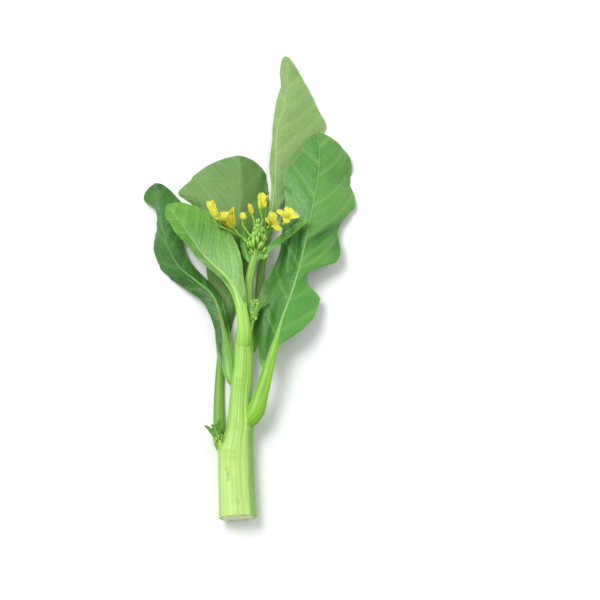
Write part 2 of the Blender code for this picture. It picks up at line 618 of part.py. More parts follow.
def main():
    clear_scene()
    shoot = bpy.data.objects.new("shoot", None)
    bpy.context.scene.collection.objects.link(shoot)
    stem_green = material("stem_green", (0.40, 0.66, 0.13), 0.35)
    leaf_green = material("leaf_green", (0.11, 0.31, 0.07), 0.45)
    leaf_back = material("leaf_underside", (0.25, 0.44, 0.15), 0.6)
    bud_green = material("bud_green", (0.30, 0.55, 0.09), 0.45)
    petal_yellow = material("petal_yellow", (0.86, 0.74, 0.05), 0.5)

    add_object("stem", *tube(stem_rings(0.0)), stem_green, shoot)
    stem_space = add_object("stem_space", *tube(stem_rings(GAP)), stem_green, shoot)
    stem_space.hide_render = True
    stem_space.display_type = "WIRE"
    for name, leaf in LEAVES.items():
        small = name.startswith("bract")
        rows, columns = (BRACT_ROWS, BRACT_COLUMNS) if small else (LEAF_ROWS, LEAF_COLUMNS)
        surface = leaf_back if name.startswith("leaf_back") else leaf_green
        obj = add_object(name, *leaf_solid(leaf, rows, columns), surface, shoot)
        cut_by(obj, stem_space)
    for name, axil in SIDE_SHOOTS.items():
        cut_by(side_shoot(name, axil, bud_green, shoot), stem_space)
    flower_head(bud_green, shoot)
    for i, flower in enumerate(FLOWERS, 1):
        flower_petals(i, flower, petal_yellow, shoot)
    rest_on_origin(shoot)


main()
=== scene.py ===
import math
import random

import bpy
import numpy as np
from mathutils import Matrix, Vector


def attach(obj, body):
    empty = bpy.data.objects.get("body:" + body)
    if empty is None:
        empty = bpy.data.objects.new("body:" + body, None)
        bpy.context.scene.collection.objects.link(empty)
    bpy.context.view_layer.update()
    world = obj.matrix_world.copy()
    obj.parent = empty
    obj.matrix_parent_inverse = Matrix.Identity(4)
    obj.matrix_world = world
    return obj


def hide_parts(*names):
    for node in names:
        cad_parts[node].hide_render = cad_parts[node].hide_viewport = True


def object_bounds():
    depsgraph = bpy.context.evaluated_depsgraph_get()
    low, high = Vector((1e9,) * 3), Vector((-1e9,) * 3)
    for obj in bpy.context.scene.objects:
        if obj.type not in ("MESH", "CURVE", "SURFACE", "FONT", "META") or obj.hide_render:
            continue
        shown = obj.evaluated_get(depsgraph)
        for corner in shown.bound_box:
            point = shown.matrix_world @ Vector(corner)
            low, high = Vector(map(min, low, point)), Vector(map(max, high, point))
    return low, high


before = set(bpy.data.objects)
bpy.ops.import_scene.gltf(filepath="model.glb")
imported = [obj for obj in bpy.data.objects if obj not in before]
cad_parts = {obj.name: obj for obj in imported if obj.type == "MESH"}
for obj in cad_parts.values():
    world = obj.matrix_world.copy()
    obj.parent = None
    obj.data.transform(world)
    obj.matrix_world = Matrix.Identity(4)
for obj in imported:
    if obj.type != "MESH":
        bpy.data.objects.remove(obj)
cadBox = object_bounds()
print("frame loaded")

mm = 0.001
shootPlace = np.array((-3.1303, -9.8292, 0.0))  # mm, brings the tables' numbers to the CAD frame
goldenAngle = math.radians(137.508)


# modelling helpers

def deselectAll():
    if bpy.context.object and bpy.context.object.mode != "OBJECT":
        bpy.ops.object.mode_set(mode="OBJECT")
    bpy.ops.object.select_all(action="DESELECT")


def selectOnly(obj, others=()):
    deselectAll()
    for each in (*others, obj):
        each.select_set(True)
    bpy.context.view_layer.objects.active = obj


def readPoints(obj):
    points = np.empty(len(obj.data.vertices) * 3)
    obj.data.vertices.foreach_get("co", points)
    return points.reshape(-1, 3)


def writePoints(obj, points):
    obj.data.vertices.foreach_set("co", np.ascontiguousarray(points, float).ravel())
    obj.data.update()


def writeField(obj, name, *columns):
    # three numbers a point for the materials, each given for every point or once for all
    values = np.empty((len(obj.data.vertices), 3))
    for i, column in enumerate(columns):
        values[:, i] = column
    field = obj.data.attributes.new(name, "FLOAT_VECTOR", "POINT")
    field.data.foreach_set("vector", values.ravel())


def addSlab(name, across, along):
    # a flat grid given a second face by extrusion, ready to be shaped
    deselectAll()
    bpy.ops.mesh.primitive_grid_add(x_subdivisions=across, y_subdivisions=along, size=2)
    slab = bpy.context.object
    slab.name = slab.data.name = name
    bpy.ops.object.mode_set(mode="EDIT")
    bpy.ops.mesh.select_all(action="SELECT")
    bpy.ops.mesh.extrude_region_move(TRANSFORM_OT_translate={"value": (0, 0, 1)})
    bpy.ops.mesh.select_all(action="SELECT")
    bpy.ops.mesh.normals_make_consistent(inside=False)
    bpy.ops.object.mode_set(mode="OBJECT")
    return slab


def slabIndex(slab, across, along):
    # column, row and side (0 lower, 1 upper) of each point of an unshaped slab
    points = readPoints(slab)
    column = np.rint((points[:, 0] + 1) / 2 * across).astype(int)
    row = np.rint((points[:, 1] + 1) / 2 * along).astype(int)
    return column, row, (points[:, 2] > 0.5).astype(int)


def addRod(name, sides, rows, insets=()):
    # an upright cylinder with even rings, its foot's cap inset where asked, ready to be shaped
    deselectAll()
    bpy.ops.mesh.primitive_cylinder_add(vertices=sides, radius=1, depth=1, location=(0, 0, 0.5))
    rod = bpy.context.object
    rod.name = rod.data.name = name
    bpy.ops.object.transform_apply(location=True, rotation=True, scale=True)
    bpy.ops.object.mode_set(mode="EDIT")
    bpy.ops.mesh.select_mode(type="EDGE")
    bpy.ops.mesh.select_all(action="DESELECT")
    bpy.ops.object.mode_set(mode="OBJECT")
    for edge in rod.data.edges:
        low, high = (rod.data.vertices[v].co.z for v in edge.vertices)
        edge.select = abs(low - high) > 0.5
    bpy.ops.object.mode_set(mode="EDIT")
    if rows > 1:
        bpy.ops.mesh.subdivide(number_cuts=rows - 1)
    bpy.ops.mesh.select_mode(type="FACE")
    for depth in insets:
        bpy.ops.mesh.select_all(action="DESELECT")
        bpy.ops.object.mode_set(mode="OBJECT")
        for face in rod.data.polygons:
            face.select = len(face.vertices) == sides and face.center.z < 0.01
        bpy.ops.object.mode_set(mode="EDIT")
        bpy.ops.mesh.inset(thickness=depth)
    bpy.ops.object.mode_set(mode="OBJECT")
    return rod


def joinAll(parts, name):
    selectOnly(parts[0], parts[1:])
    bpy.ops.object.join()
    parts[0].name = parts[0].data.name = name
    return parts[0]


def copyTo(obj, matrix):
    # a copy with its own mesh, put in place in the mesh itself
    twin = obj.copy()
    twin.data = obj.data.copy()
    twin.data.transform(matrix)
    bpy.context.scene.collection.objects.link(twin)
    return twin


def inPlace(points):
    return (np.asarray(points, float) + shootPlace) * mm


def setMaterials(obj, *finishes):
    obj.data.materials.clear()
    for finish in finishes:
        obj.data.materials.append(finish)


def finishPiece(obj, node, smoothAngle=60):
    selectOnly(obj)
    bpy.ops.object.shade_smooth_by_angle(angle=math.radians(smoothAngle))
    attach(obj, "root")
    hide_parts(node)
    deselectAll()


# shapes by formula

def unit(v):
    return v / np.maximum(np.linalg.norm(v, axis=-1, keepdims=True), 1e-12)


def smoothStep(x):
    x = np.clip(x, 0, 1)
    return x * x * (3 - 2 * x)


def ripple(x, seed):
    # an irregular soft wave between about -1 and 1, the same on every run
    return (np.sin(x + seed) + 0.6 * np.sin(2.3 * x + 1.7 * seed) + 0.4 * np.sin(4.1 * x + 2.9 * seed)) / 1.7


def through(keys, at, bounded=False):
    # a smooth curve through (station, value) keys; a bounded one never passes a key
    stations = np.array([k[0] for k in keys], float)
    values = np.array([np.atleast_1d(k[1]) for k in keys], float)
    slope = np.diff(values, axis=0) / np.diff(stations)[:, None]
    middle = (slope[:-1] + slope[1:]) / 2
    if bounded:
        product = slope[:-1] * slope[1:]
        middle = np.where(product > 0, product / np.where(middle == 0, 1, middle), 0)
    tangent = np.vstack([slope[:1], middle, slope[-1:]])
    at = np.clip(np.asarray(at, float), stations[0], stations[-1])
    k = np.clip(np.searchsorted(stations, at, side="right") - 1, 0, len(stations) - 2)
    span = (stations[k + 1] - stations[k])[..., None]
    u = (at - stations[k])[..., None] / span
    return ((2 * u**3 - 3 * u**2 + 1) * values[k] + (u**3 - 2 * u**2 + u) * span * tangent[k]
            + (3 * u**2 - 2 * u**3) * values[k + 1] + (u**3 - u**2) * span * tangent[k + 1])


def keyed(keys, at):
    return through(keys, at, bounded=True)[..., 0]


def runAlong(points):
    # how far each point is from the first, along the straight pieces between them
    return np.concatenate([[0], np.cumsum(np.linalg.norm(np.diff(points, axis=0), axis=1))])


class GrowthLine:
    # a smooth line through points in mm, read by its share of the length
    def __init__(self, points):
        points = np.array(points, float)
        chord = runAlong(points)
        self.keys = chord / chord[-1]
        self.dense = through(list(zip(chord, points)), np.linspace(0, chord[-1], 400))
        run = runAlong(self.dense)
        self.length = run[-1]
        self.share = run / run[-1]
        self.slope = np.gradient(self.dense, self.share, axis=0)

    def read(self, values, t):
        return np.stack([np.interp(t, self.share, values[:, i]) for i in range(3)], axis=-1)

    def point(self, t):
        return self.read(self.dense, t)

    def frame(self, t):
        # unit vectors along the line, to its right and up
        along = unit(self.read(self.slope, t))
        right = unit(np.cross(along, (0.0, 0.0, 1.0)))
        return along, right, np.cross(right, along)


# shader wiring

class Wire:
    # one output of a material's nodes, so that sums on it are written as sums
    def __init__(self, finish, socket):
        self.finish, self.socket = finish, socket

    def math(self, operation, *values):
        return self.finish.add("ShaderNodeMath", {"operation": operation}, dict(enumerate(values)))

    def __add__(self, other):
        return self.math("ADD", self, other)

    def __mul__(self, other):
        return self.math("MULTIPLY", self, other)

    def __sub__(self, other):
        return self.math("SUBTRACT", self, other)

    def __rsub__(self, other):
        return self.math("SUBTRACT", other, self)

    def __truediv__(self, other):
        return self.math("DIVIDE", self, other)

    __radd__, __rmul__ = __add__, __mul__

    def fromWhole(self):
        # distance from the nearest whole number
        return self.math("ABSOLUTE", self.math("FRACT", self + 0.5) - 0.5)

    def step(self, low, high):
        # 0 at low and 1 at high, eased
        first, last, start, end = (low, high, 0.0, 1.0) if low < high else (high, low, 1.0, 0.0)
        return self.finish.add("ShaderNodeMapRange", {"interpolation_type": "SMOOTHSTEP"},
                               {"Value": self, "From Min": first, "From Max": last,
                                "To Min": start, "To Max": end})


class Finish:
    # a material while it is wired
    def __init__(self, name, roughness, **settings):
        self.made = bpy.data.materials.new(name)
        self.made.use_nodes = True
        self.tree = self.made.node_tree
        self.shader = self.tree.nodes["Principled BSDF"]
        self.shader.inputs["Roughness"].default_value = roughness
        for key, value in settings.items():
            self.shader.inputs[key].default_value = value

    def feed(self, socket, value):
        if isinstance(value, Wire):
            self.tree.links.new(value.socket, socket)
        elif isinstance(value, tuple) and len(value) < len(socket.default_value):
            socket.default_value = (*value, 1.0)
        else:
            socket.default_value = value

    def add(self, kind, settings, values, out=0):
        node = self.tree.nodes.new(kind)
        for key, value in settings.items():
            setattr(node, key, value)
        for key, value in values.items():
            self.feed(node.inputs[key], value)
        return Wire(self, node.outputs[out])

    def place(self):
        return self.add("ShaderNodeTexCoord", {}, {}, "Object")

    def field(self, name):
        return self.add("ShaderNodeAttribute", {"attribute_name": name}, {}, "Vector")

    def split(self, vector):
        node = self.add("ShaderNodeSeparateXYZ", {}, {0: vector}).socket.node
        return [Wire(self, out) for out in node.outputs]

    def vector(self, x, y, z=0.0):
        return self.add("ShaderNodeCombineXYZ", {}, {0: x, 1: y, 2: z})

    def stretch(self, vector, scale):
        return self.add("ShaderNodeVectorMath", {"operation": "MULTIPLY"}, {0: vector, 1: scale})

    def clouds(self, vector, scale, detail=3.0, rough=0.55):
        values = {"Vector": vector, "Scale": scale, "Detail": detail, "Roughness": rough}
        return self.add("ShaderNodeTexNoise", {}, values, "Fac")

    def cells(self, vector, scale):
        # distance from the nearest cell wall
        return self.add("ShaderNodeTexVoronoi", {"feature": "DISTANCE_TO_EDGE"},
                        {"Vector": vector, "Scale": scale}, "Distance")

    def blend(self, factor, first, second):
        return self.add("ShaderNodeMix", {"data_type": "RGBA"}, {0: factor, 6: first, 7: second}, 2)

    def colour(self, value):
        self.feed(self.shader.inputs["Base Color"], value)

    def roughness(self, value):
        self.feed(self.shader.inputs["Roughness"], value)

    def relief(self, height, distance, strength=1.0):
        values = {"Strength": strength, "Distance": distance, "Height": height}
        self.feed(self.shader.inputs["Normal"], self.add("ShaderNodeBump", {}, values, "Normal"))


def srgb(r, g, b):
    # a colour in a picture editor's numbers, 0 to 255
    shares = (r / 255, g / 255, b / 255)
    return tuple(c / 12.92 if c <= 0.04045 else ((c + 0.055) / 1.055) ** 2.4 for c in shares)


# leaves

# shared by most leaves; raised is -1 where the veins lie sunk
leafBase = {"rough": 0.36, "net": 0.4, "raised": -1.0}

# midrib: how strongly its pale line shows near the foot and far out, and the mm between which it fades
# foot, and the lower left half's painted shade: strength, tone and the mm between which they fade; the right
# half's painted shading (light on the dark leaf, shade on the broad one) and the lower right edge's painted
# light: strength and tone
leafTones = {
    "dark": {"deep": srgb(38, 104, 28), "fresh": srgb(80, 141, 60), "vein": srgb(148, 198, 100),
             "stalk": srgb(104, 168, 34), "pale": srgb(146, 202, 64), "sheen": srgb(100, 160, 88),
             "sideVeins": 0.28, "midrib": (0.9, 0.45, 85.0, 150.0),
             "rightHalfShading": (0.36, srgb(118, 178, 86)), "foot": (0.62, srgb(58, 138, 32), 85.0, 125.0),
             "leftFootShade": (0.6, srgb(58, 104, 40), 70.0, 135.0), "rightEdge": (0.35, srgb(102, 176, 80))},
    "bright": {"deep": srgb(56, 122, 16), "fresh": srgb(96, 156, 46), "vein": srgb(166, 210, 116),
               "stalk": srgb(128, 188, 56), "pale": srgb(178, 222, 108), "sheen": srgb(136, 184, 98),
               "rough": 0.34, "net": 0.3, "sideVeins": 0.13, "midrib": (0.9, 0.4, 45.0, 95.0),
               "foot": (0.75, srgb(132, 182, 92), 35.0, 85.0)},
    "shaded": {"deep": srgb(26, 78, 18), "fresh": srgb(58, 116, 38), "vein": srgb(122, 172, 84),
               "stalk": srgb(96, 156, 50), "pale": srgb(136, 188, 82), "sheen": srgb(78, 132, 72),
               "net": 0.35, "sideVeins": 0.10, "midrib": (0.85, 0.22, 65.0, 115.0),
               "foot": (0.4, srgb(46, 110, 24), 60.0, 100.0)},
    "small": {"deep": srgb(62, 126, 32), "fresh": srgb(106, 170, 60), "vein": srgb(140, 196, 92),
              "stalk": srgb(84, 150, 46), "pale": srgb(120, 182, 72), "sheen": srgb(116, 172, 84),
              "sideVeins": 0.3, "midrib": (0.8, 0.6, 5.0, 20.0)},
    "young": {"deep": srgb(78, 142, 42), "fresh": srgb(122, 184, 76), "vein": srgb(160, 208, 110),
              "stalk": srgb(96, 160, 52), "pale": srgb(132, 190, 84), "sheen": srgb(128, 184, 90),
              "sideVeins": 0.2, "midrib": (0.4, 0.3, 5.0, 20.0)},
    "tall": {"deep": srgb(121, 160, 88), "fresh": srgb(143, 177, 111), "vein": srgb(172, 204, 132),
             "stalk": srgb(104, 150, 62), "pale": srgb(128, 170, 80), "sheen": srgb(150, 185, 118),
             "rough": 0.52, "raised": 1.0, "sideVeins": 0.26, "midrib": (0.8, 0.3, 165.0, 195.0),
             "foot": (0.7, srgb(104, 146, 68), 90.0, 190.0)},
    "broad": {"deep": srgb(88, 132, 56), "fresh": srgb(112, 153, 80), "vein": srgb(134, 170, 98),
              "stalk": srgb(100, 154, 54), "pale": srgb(130, 178, 76), "sheen": srgb(126, 165, 94),
              "rough": 0.52, "raised": 1.0, "sideVeins": 0.16, "midrib": (0.7, 0.4, 120.0, 190.0),
              "rightHalfShading": (0.7, srgb(66, 108, 38))},
}


def leafFinish(name, tone):
    tone = {**leafBase, **tone}
    made = Finish(name, tone["rough"], **{"Subsurface Weight": 0.06, "Subsurface Scale": 0.0015,
                                          "Specular IOR Level": 0.42})
    place = made.place()
    phase, reach, line = made.split(made.field("veinWay"))
    blade, green, spacing = made.split(made.field("bladeWay"))
    stalkWay = made.field("stalkWay")
    across, _, run = made.split(stalkWay)
    wobble = made.clouds(place, 42.0, 2.0) - 0.5
    fromVein = (phase + wobble * 0.10).fromWhole() * spacing * 0.66  # mm to the nearest side vein
    sideVein = (fromVein / (1.0 - reach * 0.7)).step(0.62, 0.10) * reach.step(1.0, 0.75)
    branch = (phase * 3.0 + wobble * 0.5).fromWhole()
    branchVein = branch.step(0.07, 0.01) * reach.step(0.04, 0.2) * reach.step(0.9, 0.5)
    net = made.cells(place, 300.0).step(0.10, 0.0)
    fineNet = made.cells(place, 800.0).step(0.13, 0.0)
    midrib = line.step(1.25, 0.6)
    margin = reach.step(0.975, 0.995)
    # the blade's own grain runs along its side veins
    veinGrain = made.vector(phase * spacing, across * 0.14, reach)
    streaks = made.clouds(veinGrain, 0.42, 3.0)
    fineStreaks = made.clouds(veinGrain, 1.6, 3.0, 0.6)
    drifts = made.clouds(place, 17.0, 2.0, 0.5)
    patches = made.clouds(place, 60.0, 4.0, 0.6)
    speckle = made.clouds(place, 420.0, 3.0, 0.6)
    shade = drifts * 0.52 + streaks * 0.20 + patches * 0.18 + speckle * 0.10
    colour = made.blend(shade.step(0.38, 0.60), tone["deep"], tone["fresh"])
    # painted sheen: pale streaky patches stand in for light reflected off the blade
    sheen = made.clouds(place, 24.0, 2.0).step(0.48, 0.64) * fineStreaks.step(0.35, 0.65)
    colour = made.blend(sheen * 0.7, colour, tone["sheen"])
    if "rightHalfShading" in tone:
        # this leaf's right half lies turned another way; painted light (on the dark leaf) and painted shade
        # (on the broad one) change its tone for how light falls on it
        strength, rightShadingTone = tone["rightHalfShading"]
        colour = made.blend(across.step(-1.0, 3.0) * strength, colour, rightShadingTone)
    if "foot" in tone:
        # towards its foot the blade fades to another tone
        strength, footTone, fadeFrom, fadeTo = tone["foot"]
        colour = made.blend(blade.step(0.2, 1.0) * run.step(fadeTo, fadeFrom) * strength, colour, footTone)
    if "leftFootShade" in tone:
        # painted shade: the left half of the blade darkened towards its foot
        strength, footTone, fadeFrom, fadeTo = tone["leftFootShade"]
        colour = made.blend(across.step(1.0, -3.0) * run.step(fadeTo, fadeFrom) * strength, colour, footTone)
        # painted light: outside its lower right lobe, where the blade turns up to the light, its colour is
        # lightened
        strength, edgeLightTone = tone["rightEdge"]
        edge = across.step(3.0, 5.0) * reach.step(0.35, 0.85) * run.step(96.0, 80.0) * strength
        colour = made.blend(edge, colour, edgeLightTone)
    # painted shade in the hollows of the folds
    shadedFold, _, _ = made.split(made.field("foldWay"))
    colour = made.blend(shadedFold, colour, tone["deep"])
    nearVein = fromVein.step(2.4, 0.2) * 0.16 + (net * 0.20 + fineNet * 0.10) * tone["net"]
    colour = made.blend(nearVein, colour, tone["vein"])
    colour = made.blend(branchVein * (tone["sideVeins"] * 0.5), colour, tone["vein"])
    colour = made.blend(sideVein * tone["sideVeins"], colour, tone["vein"])
    # painted highlight: a pale line along the margin
    colour = made.blend(margin * 0.5, colour, tone["vein"])
    strong, faint, ribFrom, ribTo = tone["midrib"]
    colour = made.blend(midrib * (run.step(ribTo, ribFrom) * (strong - faint) + faint), colour, tone["vein"])
    grain = made.clouds(made.stretch(stalkWay, (0.9, 0.9, 0.03)), 1.0, 3.0)
    threads = made.clouds(made.stretch(stalkWay, (3.0, 3.0, 0.05)), 1.0, 2.0)
    stalk = made.blend((grain * 0.75 + threads * 0.25).step(0.36, 0.64), tone["stalk"], tone["pale"])
    made.colour(made.blend((green + grain * 0.35 - 0.175).step(0.9, 0.1), colour, stalk))
    made.roughness(speckle * 0.14 + patches * 0.12 + (tone["rough"] - 0.12))
    height = sideVein * 0.55 + branchVein * 0.3 + net * 0.24 + fineNet * 0.08
    height = height * tone["raised"] + speckle * 0.10 + fineStreaks * 0.18
    made.relief(height * blade.step(0.05, 0.5) + grain * 0.25 + threads * 0.12, 0.0004, 0.7)
    return made.made


leafShape = {
    "rows": 200,
    "columns": 50,  # on each side of the midrib
    "ribColumns": 10,
    "crowding": 1.35,  # above 1 the rows stand closer towards the tip
    "blade": 0.5,  # thickness near the midrib and at the margin, mm
    "margin": 0.28,
    "thinnest": 0.25,
    "floorGap": 0.03,
    "ribHeight": 1.75,  # share of the midrib's radius
    "sweep": 0.075,
    "pillow": 0.8,
    "edgeRipple": 0.5,
    "crinkle": 0.24,
    "veinClimb": 1.0,  # how far a side vein climbs per mm out, and its bend
    "veinBend": 0.018,
}


def halfLeaf(leaf, line, t, side, columns):
    # one half's middle surface, row by row from the midrib out
    sign = 1 if side == "right" else -1
    seed = len(leaf["node"]) + sign
    rib = keyed(leaf["ribRadius"], t)
    past = np.clip((t - leaf["tip"]) / (1 - leaf["tip"]), 0, 1)
    blade = np.maximum(keyed(leaf[side], t) * (1 + 0.025 * ripple(t * 40, seed)) * np.sqrt(1 - past**2), 0.3)
    total = rib + blade
    ribColumns = min(leafShape["ribColumns"], columns // 3)
    inRib = np.arange(ribColumns) / ribColumns
    outer = np.linspace(0, 1, columns - ribColumns + 1)
    inBlade = np.concatenate([rib[:, None] * inRib, rib[:, None] + blade[:, None] * outer], axis=1)
    inStalk = total[:, None] * np.sin(np.linspace(0, math.pi / 2, columns + 1))
    isOpen = smoothStep(blade / 3.0 - 0.1)[:, None]
    out = inStalk * (1 - isOpen) + inBlade * isOpen
    reach = out / total[:, None]
    starts = leaf[side][0][0]
    stretch = np.clip((t - starts) / (1 - starts), 0, 1)[:, None]
    place = t[:, None] + leafShape["sweep"] * reach * np.sin(math.pi * stretch)
    _, right, up = line.frame(place)
    tilt = keyed(leaf[side + "Tilt"], t)[:, None]
    angle = np.radians(tilt + leaf[side + "Curl"] * reach**1.5) * smoothStep(blade / 2.0)[:, None]
    middle = (angle[:, 1:] + angle[:, :-1]) / 2
    step = np.diff(out, axis=1)
    sideways, upwards = (np.pad(np.cumsum(step * way(middle), axis=1), ((0, 0), (1, 0)))
                         for way in (np.cos, np.sin))
    height, count, begin = leaf["wave"]
    stagger = 0.5 if side == "right" else 0.0
    spacing = line.length * (1 - starts) / leaf["veins"]
    climb = leafShape["veinClimb"] * out + leafShape["veinBend"] * out**2
    phase = ((place - starts) * line.length - climb) / spacing + stagger
    wave = height * reach**2 * np.sin(2 * math.pi * (count * stretch + begin + stagger))
    wave = wave + leafShape["edgeRipple"] * reach**4 * ripple(t[:, None] * 55, seed)
    pillow = np.abs(np.sin(math.pi * phase)) ** 0.9 * np.sin(math.pi * np.clip(reach, 0, 1)) ** 0.8
    pillow = pillow * leaf.get("pillow", leafShape["pillow"]) * (0.7 + 0.3 * ripple(phase * 2.0, seed))
    crinkle = ripple(phase * 9 + reach * 5, seed) * ripple(reach * 11 + 2, seed + 1)
    crinkle = leafShape["crinkle"] * crinkle * reach**0.5
    folded, shaded = 0 * reach, 0 * reach
    for foldSide, at, centre, along, across, slant, rise, shade in leaf.get("folds", []):
        if foldSide == side:
            far = (reach - centre) / across
            near = (t[:, None] - at - slant * (reach - centre)) / along
            bump = np.exp(-(far**2) - near**2) * smoothStep(reach * 8)
            folded = folded + rise * bump
            # painted shade: a hollow darkens the blade by its depth
            shaded = shaded + max(0, -rise) * shade * bump
    lift = (wave + pillow + crinkle + folded) * isOpen * np.minimum(1, 4 * (1 - stretch))
    sideways = sideways - lift * np.sin(angle)
    upwards = upwards + lift * np.cos(angle)
    points = line.point(place) + sign * sideways[..., None] * right + upwards[..., None] * up
    wide = np.broadcast_to(isOpen, out.shape)
    green = smoothStep((t[:, None] - starts + 0.015) / 0.08 + 0.22 * reach) * np.minimum(1, isOpen * 2 + 0.35)
    # the pale line of the midrib: as broad as the stalk where the blade starts, then thin
    pale = rib * (0.42 + 0.75 * np.exp(-np.maximum(t - starts, 0) / 0.045)) * leaf.get("paleLine", 1.0)
    return {"points": points, "out": out, "rib": rib, "pale": pale, "phase": phase,
            "reach": reach, "open": wide, "green": green,
            "spacing": np.full_like(out, spacing), "shaded": np.clip(shaded, 0, 1)}


def leafPiece(name, leaf, finish, rows=None, columns=None):
    rows, columns = rows or leafShape["rows"], columns or leafShape["columns"]
    line = GrowthLine(leaf["rib"])
    t = 1 - (1 - np.linspace(0, 1, rows + 1)) ** leafShape["crowding"]
    right, left = (halfLeaf(leaf, line, t, side, columns) for side in ("right", "left"))

    def both(key):
        return np.concatenate([left[key][:, :0:-1], right[key]], axis=1)

    middle, out, isOpen, reach = both("points"), both("out"), both("open"), both("reach")
    rib = right["rib"][:, None]
    normal = unit(np.cross(np.gradient(middle, axis=1), np.gradient(middle, axis=0)))
    palePart = np.maximum(right["pale"], left["pale"])[:, None]
    inRib = np.clip(1 - (out / rib) ** 2, 0, 1) ** (0.5 + 0.5 * isOpen)
    bulge = leafShape["ribHeight"] * rib * inRib
    # seen from its smooth side an open leaf shows a slim raised line in a shallow valley
    slim = 0.42 * palePart * np.exp(-((out / palePart) ** 2)) - 0.25 * np.exp(-((out / (rib * 1.8)) ** 2))
    half = (leafShape["blade"] + (leafShape["margin"] - leafShape["blade"]) * reach**3 * isOpen) / 2
    half = half + 0.15 * (1 - isOpen)
    above, below = leaf["ribUp"] * bulge, (1 - leaf["ribUp"]) * bulge
    if leaf["ribUp"] < 0.5:
        above = above * (1 - isOpen) + slim * isOpen
    upper = middle + normal * (half + above)[..., None]
    lower = middle - normal * (half + below)[..., None]
    lower[..., 2] = np.maximum(lower[..., 2], leafShape["floorGap"])
    upper[..., 2] = np.maximum(upper[..., 2], lower[..., 2] + leafShape["thinnest"])

    slab = addSlab(name, 2 * columns, rows)
    column, row, isUpper = slabIndex(slab, 2 * columns, rows)
    writePoints(slab, inPlace(np.where(isUpper[:, None] == 1, upper[row, column], lower[row, column])))
    writeField(slab, "veinWay", *(v[row, column] for v in (both("phase"), reach, out / palePart)))
    writeField(slab, "bladeWay", *(v[row, column] for v in (isOpen, both("green"), both("spacing"))))
    across = np.concatenate([-left["out"][:, :0:-1], right["out"]], axis=1)[row, column]
    writeField(slab, "stalkWay", across, isUpper * 4.0, t[row] * line.length)
    writeField(slab, "foldWay", both("shaded")[row, column], 0, 0)
    setMaterials(slab, *finish)
    if len(finish) > 1:
        # the second finish goes on the faces that look down
        lowerFace = [isUpper[f.vertices[0]] + isUpper[f.vertices[1]] + isUpper[f.vertices[2]] == 0
                     for f in slab.data.polygons]
        slab.data.polygons.foreach_set("material_index", [int(v) for v in lowerFace])
    finishPiece(slab, leaf["node"])
    print(name, "made")


darkLeaf = leafFinish("darkLeafTop", leafTones["dark"])
brightLeaf = leafFinish("brightLeafTop", leafTones["bright"])
shadedLeaf = leafFinish("shadedLeafTop", leafTones["shaded"])
smallLeaf = leafFinish("smallLeafTop", leafTones["small"])
youngLeaf = leafFinish("youngLeafTop", leafTones["young"])
tallLeaf = leafFinish("tallLeafUnderside", leafTones["tall"])
broadLeaf = leafFinish("broadLeafUnderside", leafTones["broad"])


leafRight = {
    "node": "leaf_right",
    "rib": [(2.2, -83.6, 13.0), (7.8, -78.6, 15.0), (12.4, -66.0, 17.2), (17.8, -45.1, 19.5),
            (23.3, -24.0, 19.0), (30.0, -3.8, 17.5), (35.7, 17.7, 16.0), (39.9, 38.2, 15.5),
            (44.2, 61.4, 14.5), (46.6, 82.1, 12.5), (45.9, 102.4, 8.5)],
    "ribRadius": [(0.0, 1.6), (0.008, 3.9), (0.022, 5.0), (0.05, 4.9), (0.1, 3.9), (0.16, 3.2), (0.26, 2.3),
                  (0.5, 1.3), (1.0, 0.55)],
    "left": [(0.17, 0.3), (0.19, 2.8), (0.22, 7.6), (0.26, 12.6), (0.31, 16.4), (0.36, 18.2), (0.40, 18.2),
             (0.44, 16.6), (0.48, 15.2), (0.52, 14.4), (0.58, 14.6), (0.64, 15.8), (0.70, 18.0), (0.76, 19.6),
             (0.81, 17.4), (0.88, 13.6), (0.95, 10.0)],
    "right": [(0.25, 0.3), (0.27, 3.0), (0.29, 7.4), (0.32, 12.2), (0.35, 15.2), (0.38, 16.8), (0.41, 17.8),
              (0.435, 8.0), (0.455, 5.8), (0.472, 7.0), (0.492, 14.0), (0.51, 19.6), (0.53, 21.4),
              (0.56, 21.2), (0.60, 20.2), (0.64, 21.2), (0.68, 23.8), (0.72, 26.0), (0.76, 26.2),
              (0.80, 24.7), (0.85, 22.0), (0.92, 20.4)],
    "leftTilt": [(0.17, -14.0), (0.24, -29.0), (0.36, -28.0), (0.55, -18.0), (0.75, -4.0), (1.0, -12.0)],
    "rightTilt": [(0.25, -5.0), (0.42, -14.0), (0.55, -8.0), (0.75, -20.0), (1.0, -12.0)],
    "leftCurl": 6.0,
    "rightCurl": -26.0,
    "tip": 0.84,
    "wave": (2.1, 4.0, 0.3),
    "veins": 7,
    "ribUp": 0.3,
    "paleLine": 0.8,
    # hollows and ridges: half, centre along the leaf and across the half, half-lengths along and across,
    # slant, rise in mm, how much painted shade a hollow gets
    "folds": [("right", 0.612, 0.50, 0.021, 0.42, 0.035, -3.0, 0.25),
              ("right", 0.572, 0.50, 0.020, 0.42, 0.035, 2.0, 0.25),
              ("right", 0.575, 0.92, 0.045, 0.16, 0.0, -2.4, 0.25),
              ("right", 0.840, 0.55, 0.030, 0.40, 0.02, -1.2, 0.1),
              ("left", 0.555, 0.30, 0.060, 0.14, 0.0, -2.2, 0.25),
              ("left", 0.580, 0.58, 0.060, 0.12, 0.0, 1.6, 0.25),
              ("left", 0.470, 0.82, 0.070, 0.13, 0.0, -2.2, 0.25),
              ("left", 0.300, 0.45, 0.070, 0.16, 0.0, -1.6, 0.25)],
}
leafPiece("leafRight", leafRight, (darkLeaf, tallLeaf))

